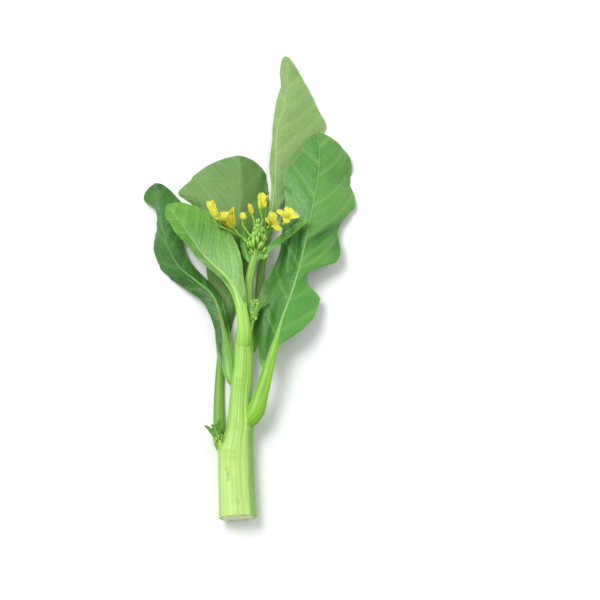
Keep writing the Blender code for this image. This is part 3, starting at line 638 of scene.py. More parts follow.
leafLeftUpper = {
    "node": "leaf_left_upper",
    "rib": [(1.4, -38.6, 15.0), (1.7, -33.7, 19.0), (1.2, -24.8, 21.5), (-0.5, -15.3, 22.5),
            (-3.6, -5.7, 23.0), (-9.2, 2.9, 23.0), (-15.9, 9.7, 22.5), (-22.5, 16.3, 21.8),
            (-29.9, 27.0, 20.5), (-37.3, 38.5, 18.5), (-46.0, 51.4, 15.0)],
    "ribRadius": [(0.0, 1.8), (0.01, 3.6), (0.03, 4.3), (0.08, 4.0), (0.14, 3.5), (0.25, 2.8), (0.45, 1.9),
                  (0.7, 1.1), (1.0, 0.55)],
    "left": [(0.24, 0.3), (0.38, 1.2), (0.55, 3.2), (0.75, 5.6), (0.92, 5.4)],
    "right": [(0.22, 0.3), (0.32, 4.5), (0.44, 15.5), (0.55, 21.0), (0.65, 21.5), (0.78, 17.5), (0.9, 11.5)],
    "leftTilt": [(0.3, -20.0), (0.6, -50.0), (0.85, -40.0), (1.0, -25.0)],
    "rightTilt": [(0.3, 4.0), (0.5, 6.0), (0.8, -4.0), (1.0, -8.0)],
    "leftCurl": 10.0,
    "rightCurl": -14.0,
    "tip": 0.87,
    "wave": (0.8, 3.0, 1.1),
    "veins": 7,
    "ribUp": 0.35,
    "paleLine": 0.8,
    "pillow": 0.4,
}
leafPiece("leafLeftUpper", leafLeftUpper, (brightLeaf, tallLeaf))

leafLeftLower = {
    "node": "leaf_left_lower",
    "rib": [(-0.4, -62.5, 11.0), (-5.9, -56.1, 11.8), (-8.3, -42.1, 11.0), (-11.6, -23.4, 10.2),
            (-18.0, -4.4, 9.6), (-28.7, 5.5, 9.2), (-38.9, 14.5, 8.8), (-45.5, 27.5, 8.2),
            (-48.9, 42.4, 7.4), (-51.8, 55.9, 6.4), (-54.4, 70.1, 4.2)],
    "ribRadius": [(0.0, 3.0), (0.1, 2.9), (0.3, 2.2), (0.5, 1.5), (0.75, 1.0), (1.0, 0.55)],
    "left": [(0.06, 0.3), (0.18, 2.2), (0.3, 4.2), (0.42, 6.0), (0.52, 8.6), (0.58, 10.8), (0.64, 11.6),
             (0.68, 9.8), (0.72, 6.4), (0.76, 3.8), (0.80, 1.9), (0.84, 2.2), (0.87, 4.2), (0.90, 7.6),
             (0.93, 9.8), (0.96, 11.0)],
    "right": [(0.16, 0.3), (0.34, 2.2), (0.48, 6.0), (0.62, 9.0), (0.74, 10.4), (0.82, 13.0), (0.86, 13.2),
              (0.89, 11.2), (0.93, 9.8), (0.97, 8.6)],
    "leftTilt": [(0.1, -4.0), (0.4, -16.0), (0.6, -40.0), (0.85, -12.0), (1.0, -14.0)],
    "rightTilt": [(0.1, 0.0), (0.5, -26.0), (0.8, -14.0), (1.0, -12.0)],
    "leftCurl": -16.0,
    "rightCurl": -6.0,
    "tip": 0.88,
    "wave": (0.7, 4.0, 2.0),
    "veins": 7,
    "ribUp": 0.3,
    "pillow": 0.5,
}
leafPiece("leafLeftLower", leafLeftLower, (shadedLeaf, tallLeaf))

leafBackLeft = {
    "node": "leaf_back_left",
    "rib": [(-2.6, -102.6, 8.0), (-11.5, -95.1, 5.2), (-13.0, -82.5, 2.6), (-13.4, -64.0, 1.3),
            (-12.6, -42.4, 1.1), (-10.3, -20.6, 1.1), (-7.6, 1.5, 1.3), (-5.5, 23.7, 2.2),
            (-3.4, 46.0, 3.8), (-2.4, 66.6, 4.6), (-4.4, 88.9, 3.4)],
    "ribRadius": [(0.0, 3.6), (0.1, 3.2), (0.3, 2.3), (0.5, 1.6), (0.75, 1.1), (1.0, 0.55)],
    "left": [(0.34, 0.3), (0.42, 5.0), (0.52, 13.0), (0.64, 20.0), (0.74, 27.0), (0.84, 38.0), (0.91, 37.0)],
    "right": [(0.38, 0.3), (0.48, 5.0), (0.6, 12.0), (0.74, 16.0), (0.86, 18.0), (0.93, 18.0)],
    "leftTilt": [(0.4, -4.0), (0.7, -2.0), (1.0, -3.0)],
    "rightTilt": [(0.4, -6.0), (0.7, -8.0), (0.86, -10.0), (1.0, -8.0)],
    "leftCurl": -12.0,
    "rightCurl": -10.0,
    "tip": 0.8,
    "wave": (1.2, 3.0, 0.0),
    "veins": 7,
    "ribUp": 0.35,
    "paleLine": 0.55,
    "pillow": 0.45,
}
leafPiece("leafBackLeft", leafBackLeft, (broadLeaf, darkLeaf))

leafBackRight = {
    "node": "leaf_back_right",
    "rib": [(1.6, -43.6, 12.5), (6.3, -35.1, 8.0), (8.9, -19.7, 5.0), (9.9, -3.1, 4.0), (11.1, 14.5, 4.0),
            (14.5, 32.7, 4.4), (17.8, 50.9, 5.2), (19.4, 65.9, 6.2), (19.6, 84.4, 7.2), (20.6, 106.0, 7.2),
            (24.0, 120.0, 6.6), (26.2, 133.0, 5.6), (26.6, 146.0, 4.0), (25.0, 158.2, 1.8)],
    "ribRadius": [(0.0, 2.8), (0.1, 2.5), (0.3, 2.0), (0.55, 1.4), (0.75, 1.0), (1.0, 0.55)],
    "left": [(0.44, 0.3), (0.52, 1.4), (0.58, 3.1), (0.66, 3.0), (0.70, 4.1), (0.75, 5.6), (0.86, 5.4),
             (0.93, 4.8), (0.97, 3.9)],
    "right": [(0.46, 0.3), (0.54, 8.6), (0.62, 21.0), (0.67, 26.6), (0.72, 28.2), (0.75, 23.2), (0.81, 14.9),
              (0.87, 8.3), (0.93, 5.4), (0.97, 3.4)],
    "leftTilt": [(0.45, -14.0), (0.6, -34.0), (1.0, -34.0)],
    "rightTilt": [(0.45, -4.0), (0.7, -8.0), (1.0, -8.0)],
    "leftCurl": -12.0,
    "rightCurl": -8.0,
    "tip": 0.95,
    "wave": (0.7, 3.0, 1.6),
    "veins": 7,
    "ribUp": 0.4,
    "paleLine": 0.6,
    "pillow": 0.5,
}
leafPiece("leafBackRight", leafBackRight, (tallLeaf, darkLeaf))

bractLeft = {
    "node": "bract_left",
    "rib": [(6.1, 12.1, 17.0), (2.7, 18.1, 16.5), (0.9, 27.8, 16.6), (0.2, 39.6, 17.2)],
    "ribRadius": [(0.0, 0.9), (0.5, 0.8), (1.0, 0.5)],
    "left": [(0.1, 0.3), (0.3, 1.5), (0.6, 2.0), (0.9, 1.9)],
    "right": [(0.1, 0.3), (0.3, 1.5), (0.6, 2.0), (0.9, 1.9)],
    "leftTilt": [(0.0, -22.0), (1.0, -28.0)],
    "rightTilt": [(0.0, -22.0), (1.0, -28.0)],
    "leftCurl": -20.0,
    "rightCurl": -20.0,
    "tip": 0.84,
    "wave": (0.0, 1.0, 0.0),
    "veins": 4,
    "ribUp": 0.3,
}
leafPiece("bractLeft", bractLeft, (youngLeaf, youngLeaf), rows=50, columns=12)

bractRight = {
    "node": "bract_right",
    "rib": [(6.5, 14.1, 17.2), (12.5, 18.9, 18.0), (21.0, 25.7, 19.2), (30.0, 32.6, 20.2),
            (39.0, 40.4, 20.6)],
    "ribRadius": [(0.0, 1.2), (0.4, 0.9), (1.0, 0.4)],
    "left": [(0.1, 0.3), (0.5, 1.7), (0.85, 1.6)],
    "right": [(0.1, 0.3), (0.5, 1.7), (0.85, 1.6)],
    "leftTilt": [(0.0, 38.0), (1.0, 30.0)],
    "rightTilt": [(0.0, 38.0), (1.0, 30.0)],
    "leftCurl": 0.0,
    "rightCurl": 0.0,
    "tip": 0.75,
    "wave": (0.3, 3.0, 0.5),
    "veins": 5,
    "ribUp": 0.3,
}
leafPiece("bractRight", bractRight, (smallLeaf, tallLeaf), rows=60, columns=12)

# stem

stem = {
    "line": [((-1.0, -138.1, 8.5), 10.6, 9.3), ((-2.1, -119.3, 8.4), 10.2, 9.2),
             ((-2.6, -102.7, 8.6), 9.9, 8.8), ((-0.7, -85.3, 10.3), 7.6, 7.3),
             ((-0.3, -69.6, 11.2), 6.3, 6.3), ((1.0, -51.7, 12.2), 5.9, 5.9),
             ((1.4, -35.6, 13.2), 5.2, 5.2), ((1.9, -22.5, 14.0), 4.1, 4.1),
             ((3.0, -9.2, 14.8), 3.3, 3.3), ((3.8, 2.0, 15.6), 2.8, 2.8),
             ((6.0, 11.6, 16.9), 2.4, 2.4), ((7.9, 20.8, 18.2), 1.9, 1.9)],
    # each node: place along Y, how far it swells, slant of its ring in mm, side it bulges to in degrees
    "nodes": [(-101.5, 0.07, 1.5, 160), (-82.2, 0.08, -1.5, 20), (-58.7, 0.08, 1.0, 170),
              (-35.3, 0.09, 0.4, 90)],
    "nodeLength": 2.6,
    "sides": 96,
    "rings": 440,
    "ribs": 8,
    "ribDepth": 0.035,
    "cutRings": (0.05, 0.10, 0.16, 0.2, 0.2),
    "cutZone": 6.0,  # how far in from the cut end the cut's own finish may lie, mm
    # each scar: place along Y, side in degrees, size in mm
    "scars": [(-114.0, 118, 1.1), (-117.2, 121, 0.9), (-111.6, 124, 0.7), (-131.0, 84, 0.9)],
}


def stemForm(rod):
    # wraps a unit rod round the stem's line, with its ribs, nodes and scars
    points = readPoints(rod)
    turn = np.arctan2(points[:, 1], points[:, 0])
    inward = np.hypot(points[:, 0], points[:, 1])
    share = points[:, 2]
    centres, halfWidths, halfHeights = zip(*stem["line"])
    line = GrowthLine(centres)
    wide = keyed(list(zip(line.keys, halfWidths)), share)
    tall = keyed(list(zip(line.keys, halfHeights)), share)
    centre = line.point(share)
    _, right, up = line.frame(share)
    run = share * line.length
    form = 1 + stem["ribDepth"] * (0.75 * np.cos(stem["ribs"] * turn + 0.5 * ripple(run * 0.03, 2.0)) + 0.25)
    form += 0.010 * np.cos(19 * turn + 2.0 * ripple(run * 0.02, 5.0)) + 0.006 * ripple(run * 0.25, 1.0)
    crease = np.zeros_like(form)
    for y, swell, slant, side in stem["nodes"]:
        past = centre[:, 1] - (y + slant * np.cos(turn - math.radians(side)))
        lean = 0.7 + 0.5 * np.cos(turn - math.radians(side))
        body = np.exp(-((past - 1.2) / stem["nodeLength"]) ** 2) + 0.5 * np.exp(-((past + 2.6) / 2.0) ** 2)
        form += swell * lean * body
        dent = np.exp(-((past + 0.9) / 0.6) ** 2)
        form -= 0.030 * dent
        crease = np.maximum(crease, dent * (0.35 + 0.3 * ripple(turn * 2, y)))
    for y, degrees, size in stem["scars"]:
        side = (turn - math.radians(degrees) + math.pi) % (2 * math.pi) - math.pi
        away = np.hypot(side * wide * 0.9, (centre[:, 1] - y) * 0.6)
        mark = np.exp(-((away / size) ** 2))
        form -= 0.05 * mark
        crease = np.maximum(crease, mark * 0.9)
    across = wide * form * inward * np.cos(turn)
    over = tall * form * inward * np.sin(turn)
    shaped = centre + across[:, None] * right + over[:, None] * up
    inCap = (share < 1e-4) & (inward < 0.999)
    # the pith stands a little proud of the cut
    shaped[:, 1] -= inCap * (0.7 * (1 - inward**2) + 0.25 * np.sin(7 * turn) * inward**2)
    shaped[:, 2] = np.maximum(shaped[:, 2], 0.0)
    writePoints(rod, inPlace(shaped))
    writeField(rod, "stemWay", np.cos(turn) * 10, np.sin(turn) * 10, run)
    writeField(rod, "stemMarks", share, crease, inward)


stemTones = {"base": srgb(184, 220, 114), "middle": srgb(146, 200, 64), "top": srgb(124, 180, 54),
             "light": srgb(208, 238, 146), "band": srgb(124, 180, 56), "line": srgb(104, 164, 42),
             "shadedFlank": srgb(112, 168, 42), "crease": srgb(92, 142, 42), "pith": srgb(206, 220, 180),
             "rind": srgb(132, 180, 74), "rough": 0.26}


def stemFinish():
    made = Finish("stemSkin", stemTones["rough"],
                  **{"Subsurface Weight": 0.15, "Subsurface Scale": 0.003,
                     "Subsurface Radius": (0.6, 1.0, 0.3), "Coat Weight": 0.25, "Coat Roughness": 0.18})
    share, crease, _ = made.split(made.field("stemMarks"))
    way = made.field("stemWay")
    streaks = made.clouds(made.stretch(way, (0.55, 0.55, 0.018)), 1.0, 3.0)
    threads = made.clouds(made.stretch(way, (2.2, 2.2, 0.035)), 1.0, 4.0, 0.65)
    patches = made.clouds(made.stretch(way, (0.10, 0.10, 0.035)), 1.0, 3.0)
    pores = made.clouds(made.stretch(way, (3.0, 3.0, 1.6)), 1.0, 2.0)
    colour = made.blend((share + patches * 0.25).step(0.12, 0.62), stemTones["base"], stemTones["middle"])
    colour = made.blend((share + patches * 0.1).step(0.62, 1.05), colour, stemTones["top"])
    bands = made.clouds(made.stretch(way, (0.17, 0.17, 0.004)), 1.0, 2.0)
    colour = made.blend(bands.step(0.50, 0.60) * 0.45, colour, stemTones["band"])
    side, _, _ = made.split(way)
    # painted shade: the stem's right flank darkened towards its foot
    shadedFlank = (side + patches * 3.0 - 1.5).step(5.2, 8.2) * share.step(0.5, 0.3)
    colour = made.blend(shadedFlank * 0.95, colour, stemTones["shadedFlank"])
    colour = made.blend(streaks.step(0.50, 0.72) * 0.55, colour, stemTones["light"])
    colour = made.blend(threads.step(0.52, 0.70) * 0.34, colour, stemTones["line"])
    colour = made.blend(pores.step(0.62, 0.75) * 0.25, colour, stemTones["light"])
    # painted shade in the node rings' dents, and the scars' own darker colour
    colour = made.blend(crease.step(0.15, 1.0) * 0.55, colour, stemTones["crease"])
    made.colour(colour)
    made.roughness(threads * 0.14 + patches * 0.10 + 0.20)
    made.relief(threads * 0.9 + pores * 0.12 + streaks * 0.5, 0.0005, 0.55)
    return made.made


def cutFinish():
    made = Finish("stemCut", 0.45, **{"Subsurface Weight": 0.2, "Subsurface Scale": 0.003})
    _, _, inward = made.split(made.field("stemMarks"))
    place = made.place()
    wet = made.clouds(place, 260.0, 4.0, 0.6)
    fibre = made.cells(place, 900.0)
    rind = (inward + wet * 0.06).step(0.82, 0.97)
    ring = (inward + wet * 0.05).step(0.70, 0.80) * (inward + wet * 0.05).step(0.92, 0.84)
    colour = made.blend(wet.step(0.3, 0.7), stemTones["pith"], srgb(186, 206, 156))
    colour = made.blend(ring * 0.5, colour, srgb(222, 230, 190))
    made.colour(made.blend(rind, colour, stemTones["rind"]))
    made.relief(fibre * 0.5 + wet, 0.0006, 0.6)
    return made.made


stemPiece = addRod("stemStalk", stem["sides"], stem["rings"], stem["cutRings"])
stemForm(stemPiece)
setMaterials(stemPiece, stemFinish(), cutFinish())
cutEnd = cadBox[0][1] + stem["cutZone"] * mm
cutFaces = [int(abs(face.normal.y) > 0.75 and face.center.y < cutEnd) for face in stemPiece.data.polygons]
stemPiece.data.polygons.foreach_set("material_index", cutFaces)
finishPiece(stemPiece, "stem", 50)
print("stem made")


# flower head

head = {
    "axis": [(7.5, 18.6, 17.9), (8.1, 21.5, 18.3), (8.6, 27.2, 19.2), (8.9, 34.2, 20.1)],
    "axisRadius": [(0.0, 0.9), (0.09, 1.9), (0.16, 2.2), (0.4, 1.5), (0.7, 1.1), (1.0, 0.6)],
    "buds": 84,
    "budLength": 4.8,
    "budRadius": 1.02,
    "stalkRadius": 0.42,
    "cupLength": 3.6,
    "sepalLength": 5.2,
    "sepalHalf": 0.035,  # half its thickness, as a share of its length
    "gap": 0.35,
    "sag": 2.2,
    "seed": 7,
}
budProfile = [(0.0, 0.34), (0.10, 0.66), (0.35, 0.98), (0.65, 1.0), (0.86, 0.72), (0.96, 0.36), (1.0, 0.0)]
closedProfile = [(0, 0.55), (0.25, 0.92), (0.55, 1.0), (0.82, 0.86), (0.95, 0.6), (1.0, 0.3)]
petalHalf = {"open": 0.15, "closed": 0.14}  # half the thickness, mm
stamens = {"count": 6, "short": 3.4, "long": 4.6}

# petals: turn round the flower, lean outwards (degrees), length, width (mm)
flowers = [
    {"node": "petals_1", "foot": (-14.8, 37.2, 25.6), "facing": (-0.38, 0.88, 0.24),
     "crumple": 0.45, "claw": 0.8,
     "petals": [(140, 5, 12.2, 4.0), (222, 7, 11.6, 3.8), (312, 6, 10.8, 4.0), (52, 6, 11.8, 4.0)]},
    {"node": "petals_2", "foot": (-4.7, 32.4, 24.6), "facing": (-0.46, 0.78, 0.43),
     "crumple": 1.3, "claw": 0.6, "faded": True,
     "petals": [(25, 26, 13.0, 9.2), (115, 28, 12.4, 8.0), (200, 14, 10.4, 7.8), (285, 20, 11.8, 8.0)]},
    {"node": "petals_3", "foot": (0.3, 38.3, 22.5), "facing": (0.0, 0.98, 0.1), "bud": (5.2, 4.4)},
    {"node": "petals_4", "foot": (6.0, 42.8, 20.6), "facing": (-0.28, 0.95, 0.1), "bud": (7.4, 3.2),
     "faded": True},
    {"node": "petals_5", "foot": (12.3, 44.3, 21.5), "facing": (-0.04, 0.92, 0.36),
     "crumple": 0.35, "claw": 0.85, "sepal": 1.25,
     "petals": [(150, 3, 10.8, 5.6), (238, 17, 9.8, 3.6), (70, 6, 9.0, 4.4), (340, 5, 9.8, 4.6)]},
    {"node": "petals_6", "foot": (16.0, 34.5, 24.2), "facing": (0.50, 0.30, 0.80),
     "crumple": 0.6, "claw": 0.4,
     "petals": [(56, 42, 7.6, 5.6), (266, 44, 7.8, 5.4), (150, 38, 5.6, 4.6), (345, 38, 4.8, 4.0)]},
    {"node": "petals_7", "foot": (25.2, 37.0, 24.6), "facing": (0.40, 0.50, 0.76),
     "crumple": 0.5, "claw": 0.35,
     "petals": [(24, 48, 9.0, 6.2), (338, 50, 8.6, 6.2), (104, 48, 7.2, 5.2), (201, 46, 8.8, 4.8)]},
]

budTones = {"deep": srgb(88, 148, 38), "fresh": srgb(170, 218, 96), "tip": srgb(212, 232, 104),
            "stalk": srgb(140, 196, 72), "seam": srgb(88, 138, 42)}


def budFinish():
    made = Finish("budSkin", 0.42, **{"Subsurface Weight": 0.12, "Subsurface Scale": 0.0015,
                                      "Subsurface Radius": (0.6, 1.0, 0.2)})
    up, seam, kind = made.split(made.field("budWay"))
    place = made.place()
    patches = made.clouds(place, 700.0, 3.0)
    drifts = made.clouds(place, 160.0, 2.0)
    shade = up * 0.6 + patches * 0.3 + drifts * 0.3
    colour = made.blend(shade.step(0.2, 0.85), budTones["deep"], budTones["fresh"])
    colour = made.blend(up.step(0.70, 1.0) * drifts.step(0.35, 0.6) * 0.8, colour, budTones["tip"])
    colour = made.blend(seam * 0.55, colour, budTones["seam"])
    stalk = made.blend(patches.step(0.3, 0.7), budTones["stalk"], budTones["fresh"])
    colour = made.blend(kind, colour, stalk)
    made.colour(colour)
    made.roughness(patches * 0.2 + 0.32)
    made.relief(patches, 0.0002, 0.5)
    return made.made


def petalFinish(name, tone):
    made = Finish(name, 0.5, **{"Subsurface Weight": 0.12, "Subsurface Scale": 0.0008,
                                "Subsurface Radius": (0.9, 0.9, 0.3)})
    across, up, kind = made.split(made.field("petalWay"))
    place = made.place()
    veins = (across * 6.0 + made.clouds(place, 500.0, 2.0) * 0.7).fromWhole().step(0.20, 0.02)
    patches = made.clouds(place, 300.0, 3.0)
    drifts = made.clouds(place, 90.0, 2.0)
    colour = made.blend(patches.step(0.25, 0.75), tone["deep"], tone["fresh"])
    colour = made.blend(drifts.step(0.46, 0.62) * tone["drift"], colour, tone["fold"])
    colour = made.blend(veins * 0.35, colour, tone["fold"])
    colour = made.blend(up.step(0.36, 0.05) * 0.8, colour, petalTones["claw"])
    anther = made.blend(patches.step(0.4, 0.6), petalTones["antherDeep"], petalTones["antherFresh"])
    colour = made.blend(kind, colour, anther)
    made.colour(colour)
    made.roughness(patches * 0.2 + 0.38)
    made.relief(veins * -0.6 + patches * 0.6, 0.0003, 0.8)
    return made.made


petalTones = {
    "yellow": {"deep": srgb(236, 236, 42), "fresh": srgb(250, 248, 112), "fold": srgb(216, 212, 30),
               "drift": 0.35},
    "faded": {"deep": srgb(228, 226, 38), "fresh": srgb(250, 246, 104), "fold": srgb(192, 186, 28),
              "drift": 0.7},
    "claw": srgb(176, 200, 60),
    "antherDeep": srgb(206, 176, 34),
    "antherFresh": srgb(226, 210, 70),
}
budSkin = budFinish()
freshPetal = petalFinish("petalYellow", petalTones["yellow"])
fadedPetal = petalFinish("petalFading", petalTones["faded"])


def basisFor(facing, turn=0.0):
    return Vector(facing).normalized().to_track_quat("Z", "Y").to_matrix() @ Matrix.Rotation(turn, 3, "Z")


def placed(foot, basis):
    # where a part grown from the origin along Z in mm goes on the shoot
    matrix = basis.to_4x4()
    matrix.translation = Vector(foot)
    return Matrix.Translation(Vector(shootPlace) * mm) @ Matrix.Scale(mm, 4) @ matrix


def budTemplate(sides, rings):
    # a closed bud 1 long and 1 in radius: four sepals that meet in seams below a blunt tip
    deselectAll()
    bpy.ops.mesh.primitive_uv_sphere_add(segments=sides, ring_count=rings, radius=1)
    bud = bpy.context.object
    points = readPoints(bud)
    up = (points[:, 2] + 1) / 2
    turn = np.arctan2(points[:, 1], points[:, 0])
    seam = np.abs(np.cos(2 * turn)) ** 10 * smoothStep(up * 3) * smoothStep((1 - up) * 6)
    radius = keyed(budProfile, up) * (1 - 0.10 * seam) * (1 - 0.04 * np.cos(4 * turn))
    radius = np.where(up < 1e-4, 0, radius)
    writePoints(bud, np.stack([radius * np.cos(turn), radius * np.sin(turn), up], axis=-1))
    writeField(bud, "budWay", up, seam, 0)
    return bud


def rodAlong(name, points, radii, sides=10, rows=12):
    # a round stalk along a line of points in mm
    rod = addRod(name, sides, rows)
    shape = readPoints(rod)
    line = GrowthLine(points)
    share = shape[:, 2]
    turn = np.arctan2(shape[:, 1], shape[:, 0])
    inward = np.hypot(shape[:, 0], shape[:, 1])
    _, right, up = line.frame(share)
    radius = keyed(radii, share) * inward
    across, over = radius * np.cos(turn), radius * np.sin(turn)
    writePoints(rod, inPlace(line.point(share) + across[:, None] * right + over[:, None] * up))
    writeField(rod, "budWay", share * 0.5, 0, 1)
    return rod


def slabForm(name, across, along, form, field):
    # a thin slab in mm: form gives the middle surface from s in -1..1 and t in 0..1, and half the thickness
    slab = addSlab(name, across, along)
    column, row, isUpper = slabIndex(slab, across, along)
    s, t = np.meshgrid(np.linspace(-1, 1, across + 1), np.linspace(0, 1, along + 1))
    middle, half = form(s, t)
    normal = unit(np.cross(np.gradient(middle, axis=1), np.gradient(middle, axis=0)))
    offset = normal * (half if np.ndim(half) == 0 else half[..., None])
    sides = np.stack([middle - offset, middle + offset])
    writePoints(slab, sides[isUpper, row, column])
    writeField(slab, field, s[row, column], t[row, column], 0)
    return slab


def sepalTemplate():
    # a narrow boat-shaped sepal 1 long
    def form(s, t):
        half = 0.23 * np.sin(math.pi * np.clip(0.20 + 0.74 * t, 0, 1)) ** 0.7
        x = s * half
        z = t + 0 * s
        y = -0.22 - 0.08 * t - 0.10 * t**2 + 1.6 * x * x
        return np.stack([x, y, z], axis=-1), head["sepalHalf"]
    return slabForm("sepalTemplate", 6, 10, form, "budWay")


def makeHead():
    rng = random.Random(head["seed"])
    line = GrowthLine(head["axis"])
    parts = [rodAlong("headAxis", head["axis"], head["axisRadius"], 20, 30)]
    bud, sepal = budTemplate(20, 14), sepalTemplate()
    for i, flower in enumerate(flowers):
        facing = Vector(flower["facing"]).normalized()
        foot = Vector(flower["foot"]) - facing * (head["cupLength"] + head["gap"])
        begin = Vector(line.point(0.16 + 0.07 * i))
        end = foot + facing * 0.9
        thick = 0.62 if i < 2 else 0.85  # the two long stalks are thinner
        radii = [(0, thick), (0.7, thick * 0.75), (1, 1.0)]
        span = (end - begin).length
        middle = begin.lerp(end, 0.5) + Vector((0, 0.10 * span, -head["sag"]))
        parts.append(rodAlong("flowerStalk", [begin, middle, end], radii, 12, 18))
        # the receptacle, then four sepals round it
        parts.append(copyTo(bud, placed(foot, basisFor(facing) @ Matrix.Diagonal((1.15, 1.15, 3.4)))))
        for k in range(4):
            # a sepal stands in the gap between two petals
            lean = math.radians(4.0 if "bud" in flower else 5.0 + 0.3 * flower["petals"][k][1])
            turn = math.radians(45 + k * 90 if "bud" in flower else flower["petals"][k][0] + 45)
            size = head["sepalLength"] * (0.85 if "bud" in flower else flower.get("sepal", 1.0))
            basis = basisFor(facing, turn) @ Matrix.Rotation(lean, 3, "X") @ Matrix.Scale(size, 3)
            parts.append(copyTo(sepal, placed(foot + facing * 0.7, basis)))
    count = head["buds"]
    for k in range(count):
        rise = k / (count - 1)
        turn = k * goldenAngle
        begin = Vector(line.point(0.12 + 0.86 * rise**0.9))
        aside = Vector((math.cos(turn), 0, math.sin(turn)))
        # every third bud stays close in, to fill the middle
        out = (3.7 * (1 - rise) ** 0.7 + 1.1) * (0.5 if k % 3 == 1 else 1.0) + rng.uniform(-0.7, 0.7)
        climb = 3.4 * rise - 1.6 + rng.uniform(-1.6, 1.8) - (2.8 if k % 4 == 0 and rise < 0.6 else 0)
        foot = begin + aside * out + Vector((0, climb, 0))
        lean = (aside * (0.28 * (1 - rise) + 0.08) + Vector((0.14, 0.95, 0))
                + Vector([rng.uniform(-0.22, 0.22) for _ in range(3)])).normalized()
        size = 0.98 - 0.30 * rise + rng.uniform(-0.18, 0.16)
        knee = begin.lerp(foot, 0.6) + aside * 0.6 - Vector((0, 0.3, 0))
        parts.append(rodAlong("budStalk", [begin, knee, foot + lean * 0.5],
                              [(0, head["stalkRadius"]), (0.8, head["stalkRadius"] * 0.85), (1, 0.55)], 8, 8))
        form = Matrix.Diagonal((head["budRadius"] * size, head["budRadius"] * size, head["budLength"] * size))
        parts.append(copyTo(bud, placed(foot, basisFor(lean, rng.uniform(0, 3)) @ form)))
    bpy.data.objects.remove(sepal)
    bpy.data.objects.remove(bud)
    piece = joinAll(parts, "flowerHead")
    setMaterials(piece, budSkin)
    finishPiece(piece, "flower_head")


makeHead()
print("flower head made")


def petalForm(length, width, spread, crumple, claw, seed):
    # one petal: a claw that widens into a broad rounded blade, notched, cupped and crumpled
    def form(s, t):
        profile = [(0, claw * 0.6), (0.18, claw), (0.42, 0.5 + claw * 0.6), (0.62, 0.94), (0.76, 1.0),
                   (0.88, 0.86), (0.96, 0.56), (1.0, 0.16)]
        half = width / 2 * keyed(profile, t)
        lean = spread * (0.35 + 1.0 * t**1.3)
        radial = 0.7 + length * t * np.sin(lean)
        height = 0.8 + length * t * np.cos(lean)
        cup = 0.10 * width * s * s * t
        broad = 0.42 * t**1.5 * ripple(s * 4.2 + t * 2.2, seed)
        fold = crumple * (broad + 0.22 * t * ripple(t * 9 + s * 1.5, seed + 3))
        notch = 1 + 0.04 * (np.abs(s) - 0.5) * smoothStep((t - 0.8) * 5)
        out = fold + cup
        y = -(radial * notch - out * np.cos(lean))
        z = height * notch + out * np.sin(lean)
        return np.stack([s * half, y, z], axis=-1), petalHalf["open"]
    return form


def makeFlower(flower, seed):
    rng = random.Random(seed)
    basis = basisFor(flower["facing"])
    parts = []
    if "bud" in flower:
        # a closed flower: petals wrapped round each other
        length, width = flower["bud"]
        for k in range(4):
            def form(s, t, k=k):
                radius = width / 2 * keyed(closedProfile, t) * (0.95 + 0.07 * s) * (1 - 0.06 * (k % 2))
                turn = s * 1.0 + k * math.pi / 2 + 0.55 * t
                crease = 0.12 * ripple(s * 5 + t * 3, k + seed) * t
                x, y = (radius + crease) * np.cos(turn), (radius + crease) * np.sin(turn)
                return np.stack([x, y, length * t * (1 - 0.04 * k)], axis=-1), petalHalf["closed"]
            parts.append(slabForm("foldedPetal", 12, 14, form, "petalWay"))
    else:
        for k, (turn, lean, length, width) in enumerate(flower["petals"]):
            form = petalForm(length, width, math.radians(lean), flower["crumple"], flower["claw"],
                             seed * 4 + k)
            petal = slabForm("petal", 20, 24, form, "petalWay")
            petal.data.transform(Matrix.Rotation(math.radians(turn), 4, "Z"))
            parts.append(petal)
        for k in range(stamens["count"]):
            # two of the stamens are shorter
            turn = k * math.pi / 3 + rng.uniform(-0.2, 0.2)
            tall = stamens["short" if k % 3 == 0 else "long"] + rng.uniform(-0.3, 0.3)
            out = 0.3 + 0.22 * tall
            top = Vector((math.cos(turn) * out, math.sin(turn) * out, 0.8 + tall))
            thread = rodAlong("stamen", [(0.35 * math.cos(turn), 0.35 * math.sin(turn), 0.6), top * 0.6, top],
                              [(0, 0.2), (1, 0.13)], 6, 5)
            thread.data.transform(Matrix.Translation(-Vector(shootPlace) * mm))
            thread.data.transform(Matrix.Scale(1 / mm, 4))
            anther = budTemplate(8, 6)
            anther.data.transform(Matrix.Translation(top) @ Matrix.Diagonal((0.38, 0.28, 1.2, 1.0)))
            for each in (thread, anther):
                each.data.attributes.remove(each.data.attributes["budWay"])
                writeField(each, "petalWay", 0, 0.6, 1)
                parts.append(each)
    piece = joinAll(parts, "petals" + flower["node"][-1])
    piece.data.transform(placed(flower["foot"], basis))
    setMaterials(piece, fadedPetal if flower.get("faded") else freshPetal)
    finishPiece(piece, flower["node"])


for number, flower in enumerate(flowers, 1):
    makeFlower(flower, number)
print("flowers made")


# side shoots

sideShoots = {
    "sideShootLeft": {"node": "side_shoot_left", "foot": (-10.3, -99.6, 12.4), "tip": (-16.6, -82.0, 15.0),
                      "buds": 22, "leaves": [(-60, 1.0, 2.4, 2.1), (20, 0.95, 2.3, 1.2), (90, 0.85, 2.0, 1.5),
                                             (150, 0.95, 2.4, 1.9), (230, 0.75, 2.0, 1.2)],
                      "finish": smallLeaf, "seed": 12},
    "sideShootRight": {"node": "side_shoot_right", "foot": (5.0, -28.6, 15.5), "tip": (9.3, -5.7, 18.5),
                       "buds": 44, "leaves": [(-35, 0.9, 1.7, 1.5), (60, 0.8, 1.8, 0.9), (120, 0.7, 1.5, 1.3),
                                              (185, 0.85, 1.6, 1.1), (250, 0.75, 1.4, 1.2)],
                       "finish": youngLeaf, "seed": 13},
}


tinyProfile = [(0, 0.22), (0.3, 0.6), (0.6, 0.98), (0.8, 1.0), (0.93, 0.7), (1.0, 0.25)]
tinyHalf = 0.16  # half the thickness, mm


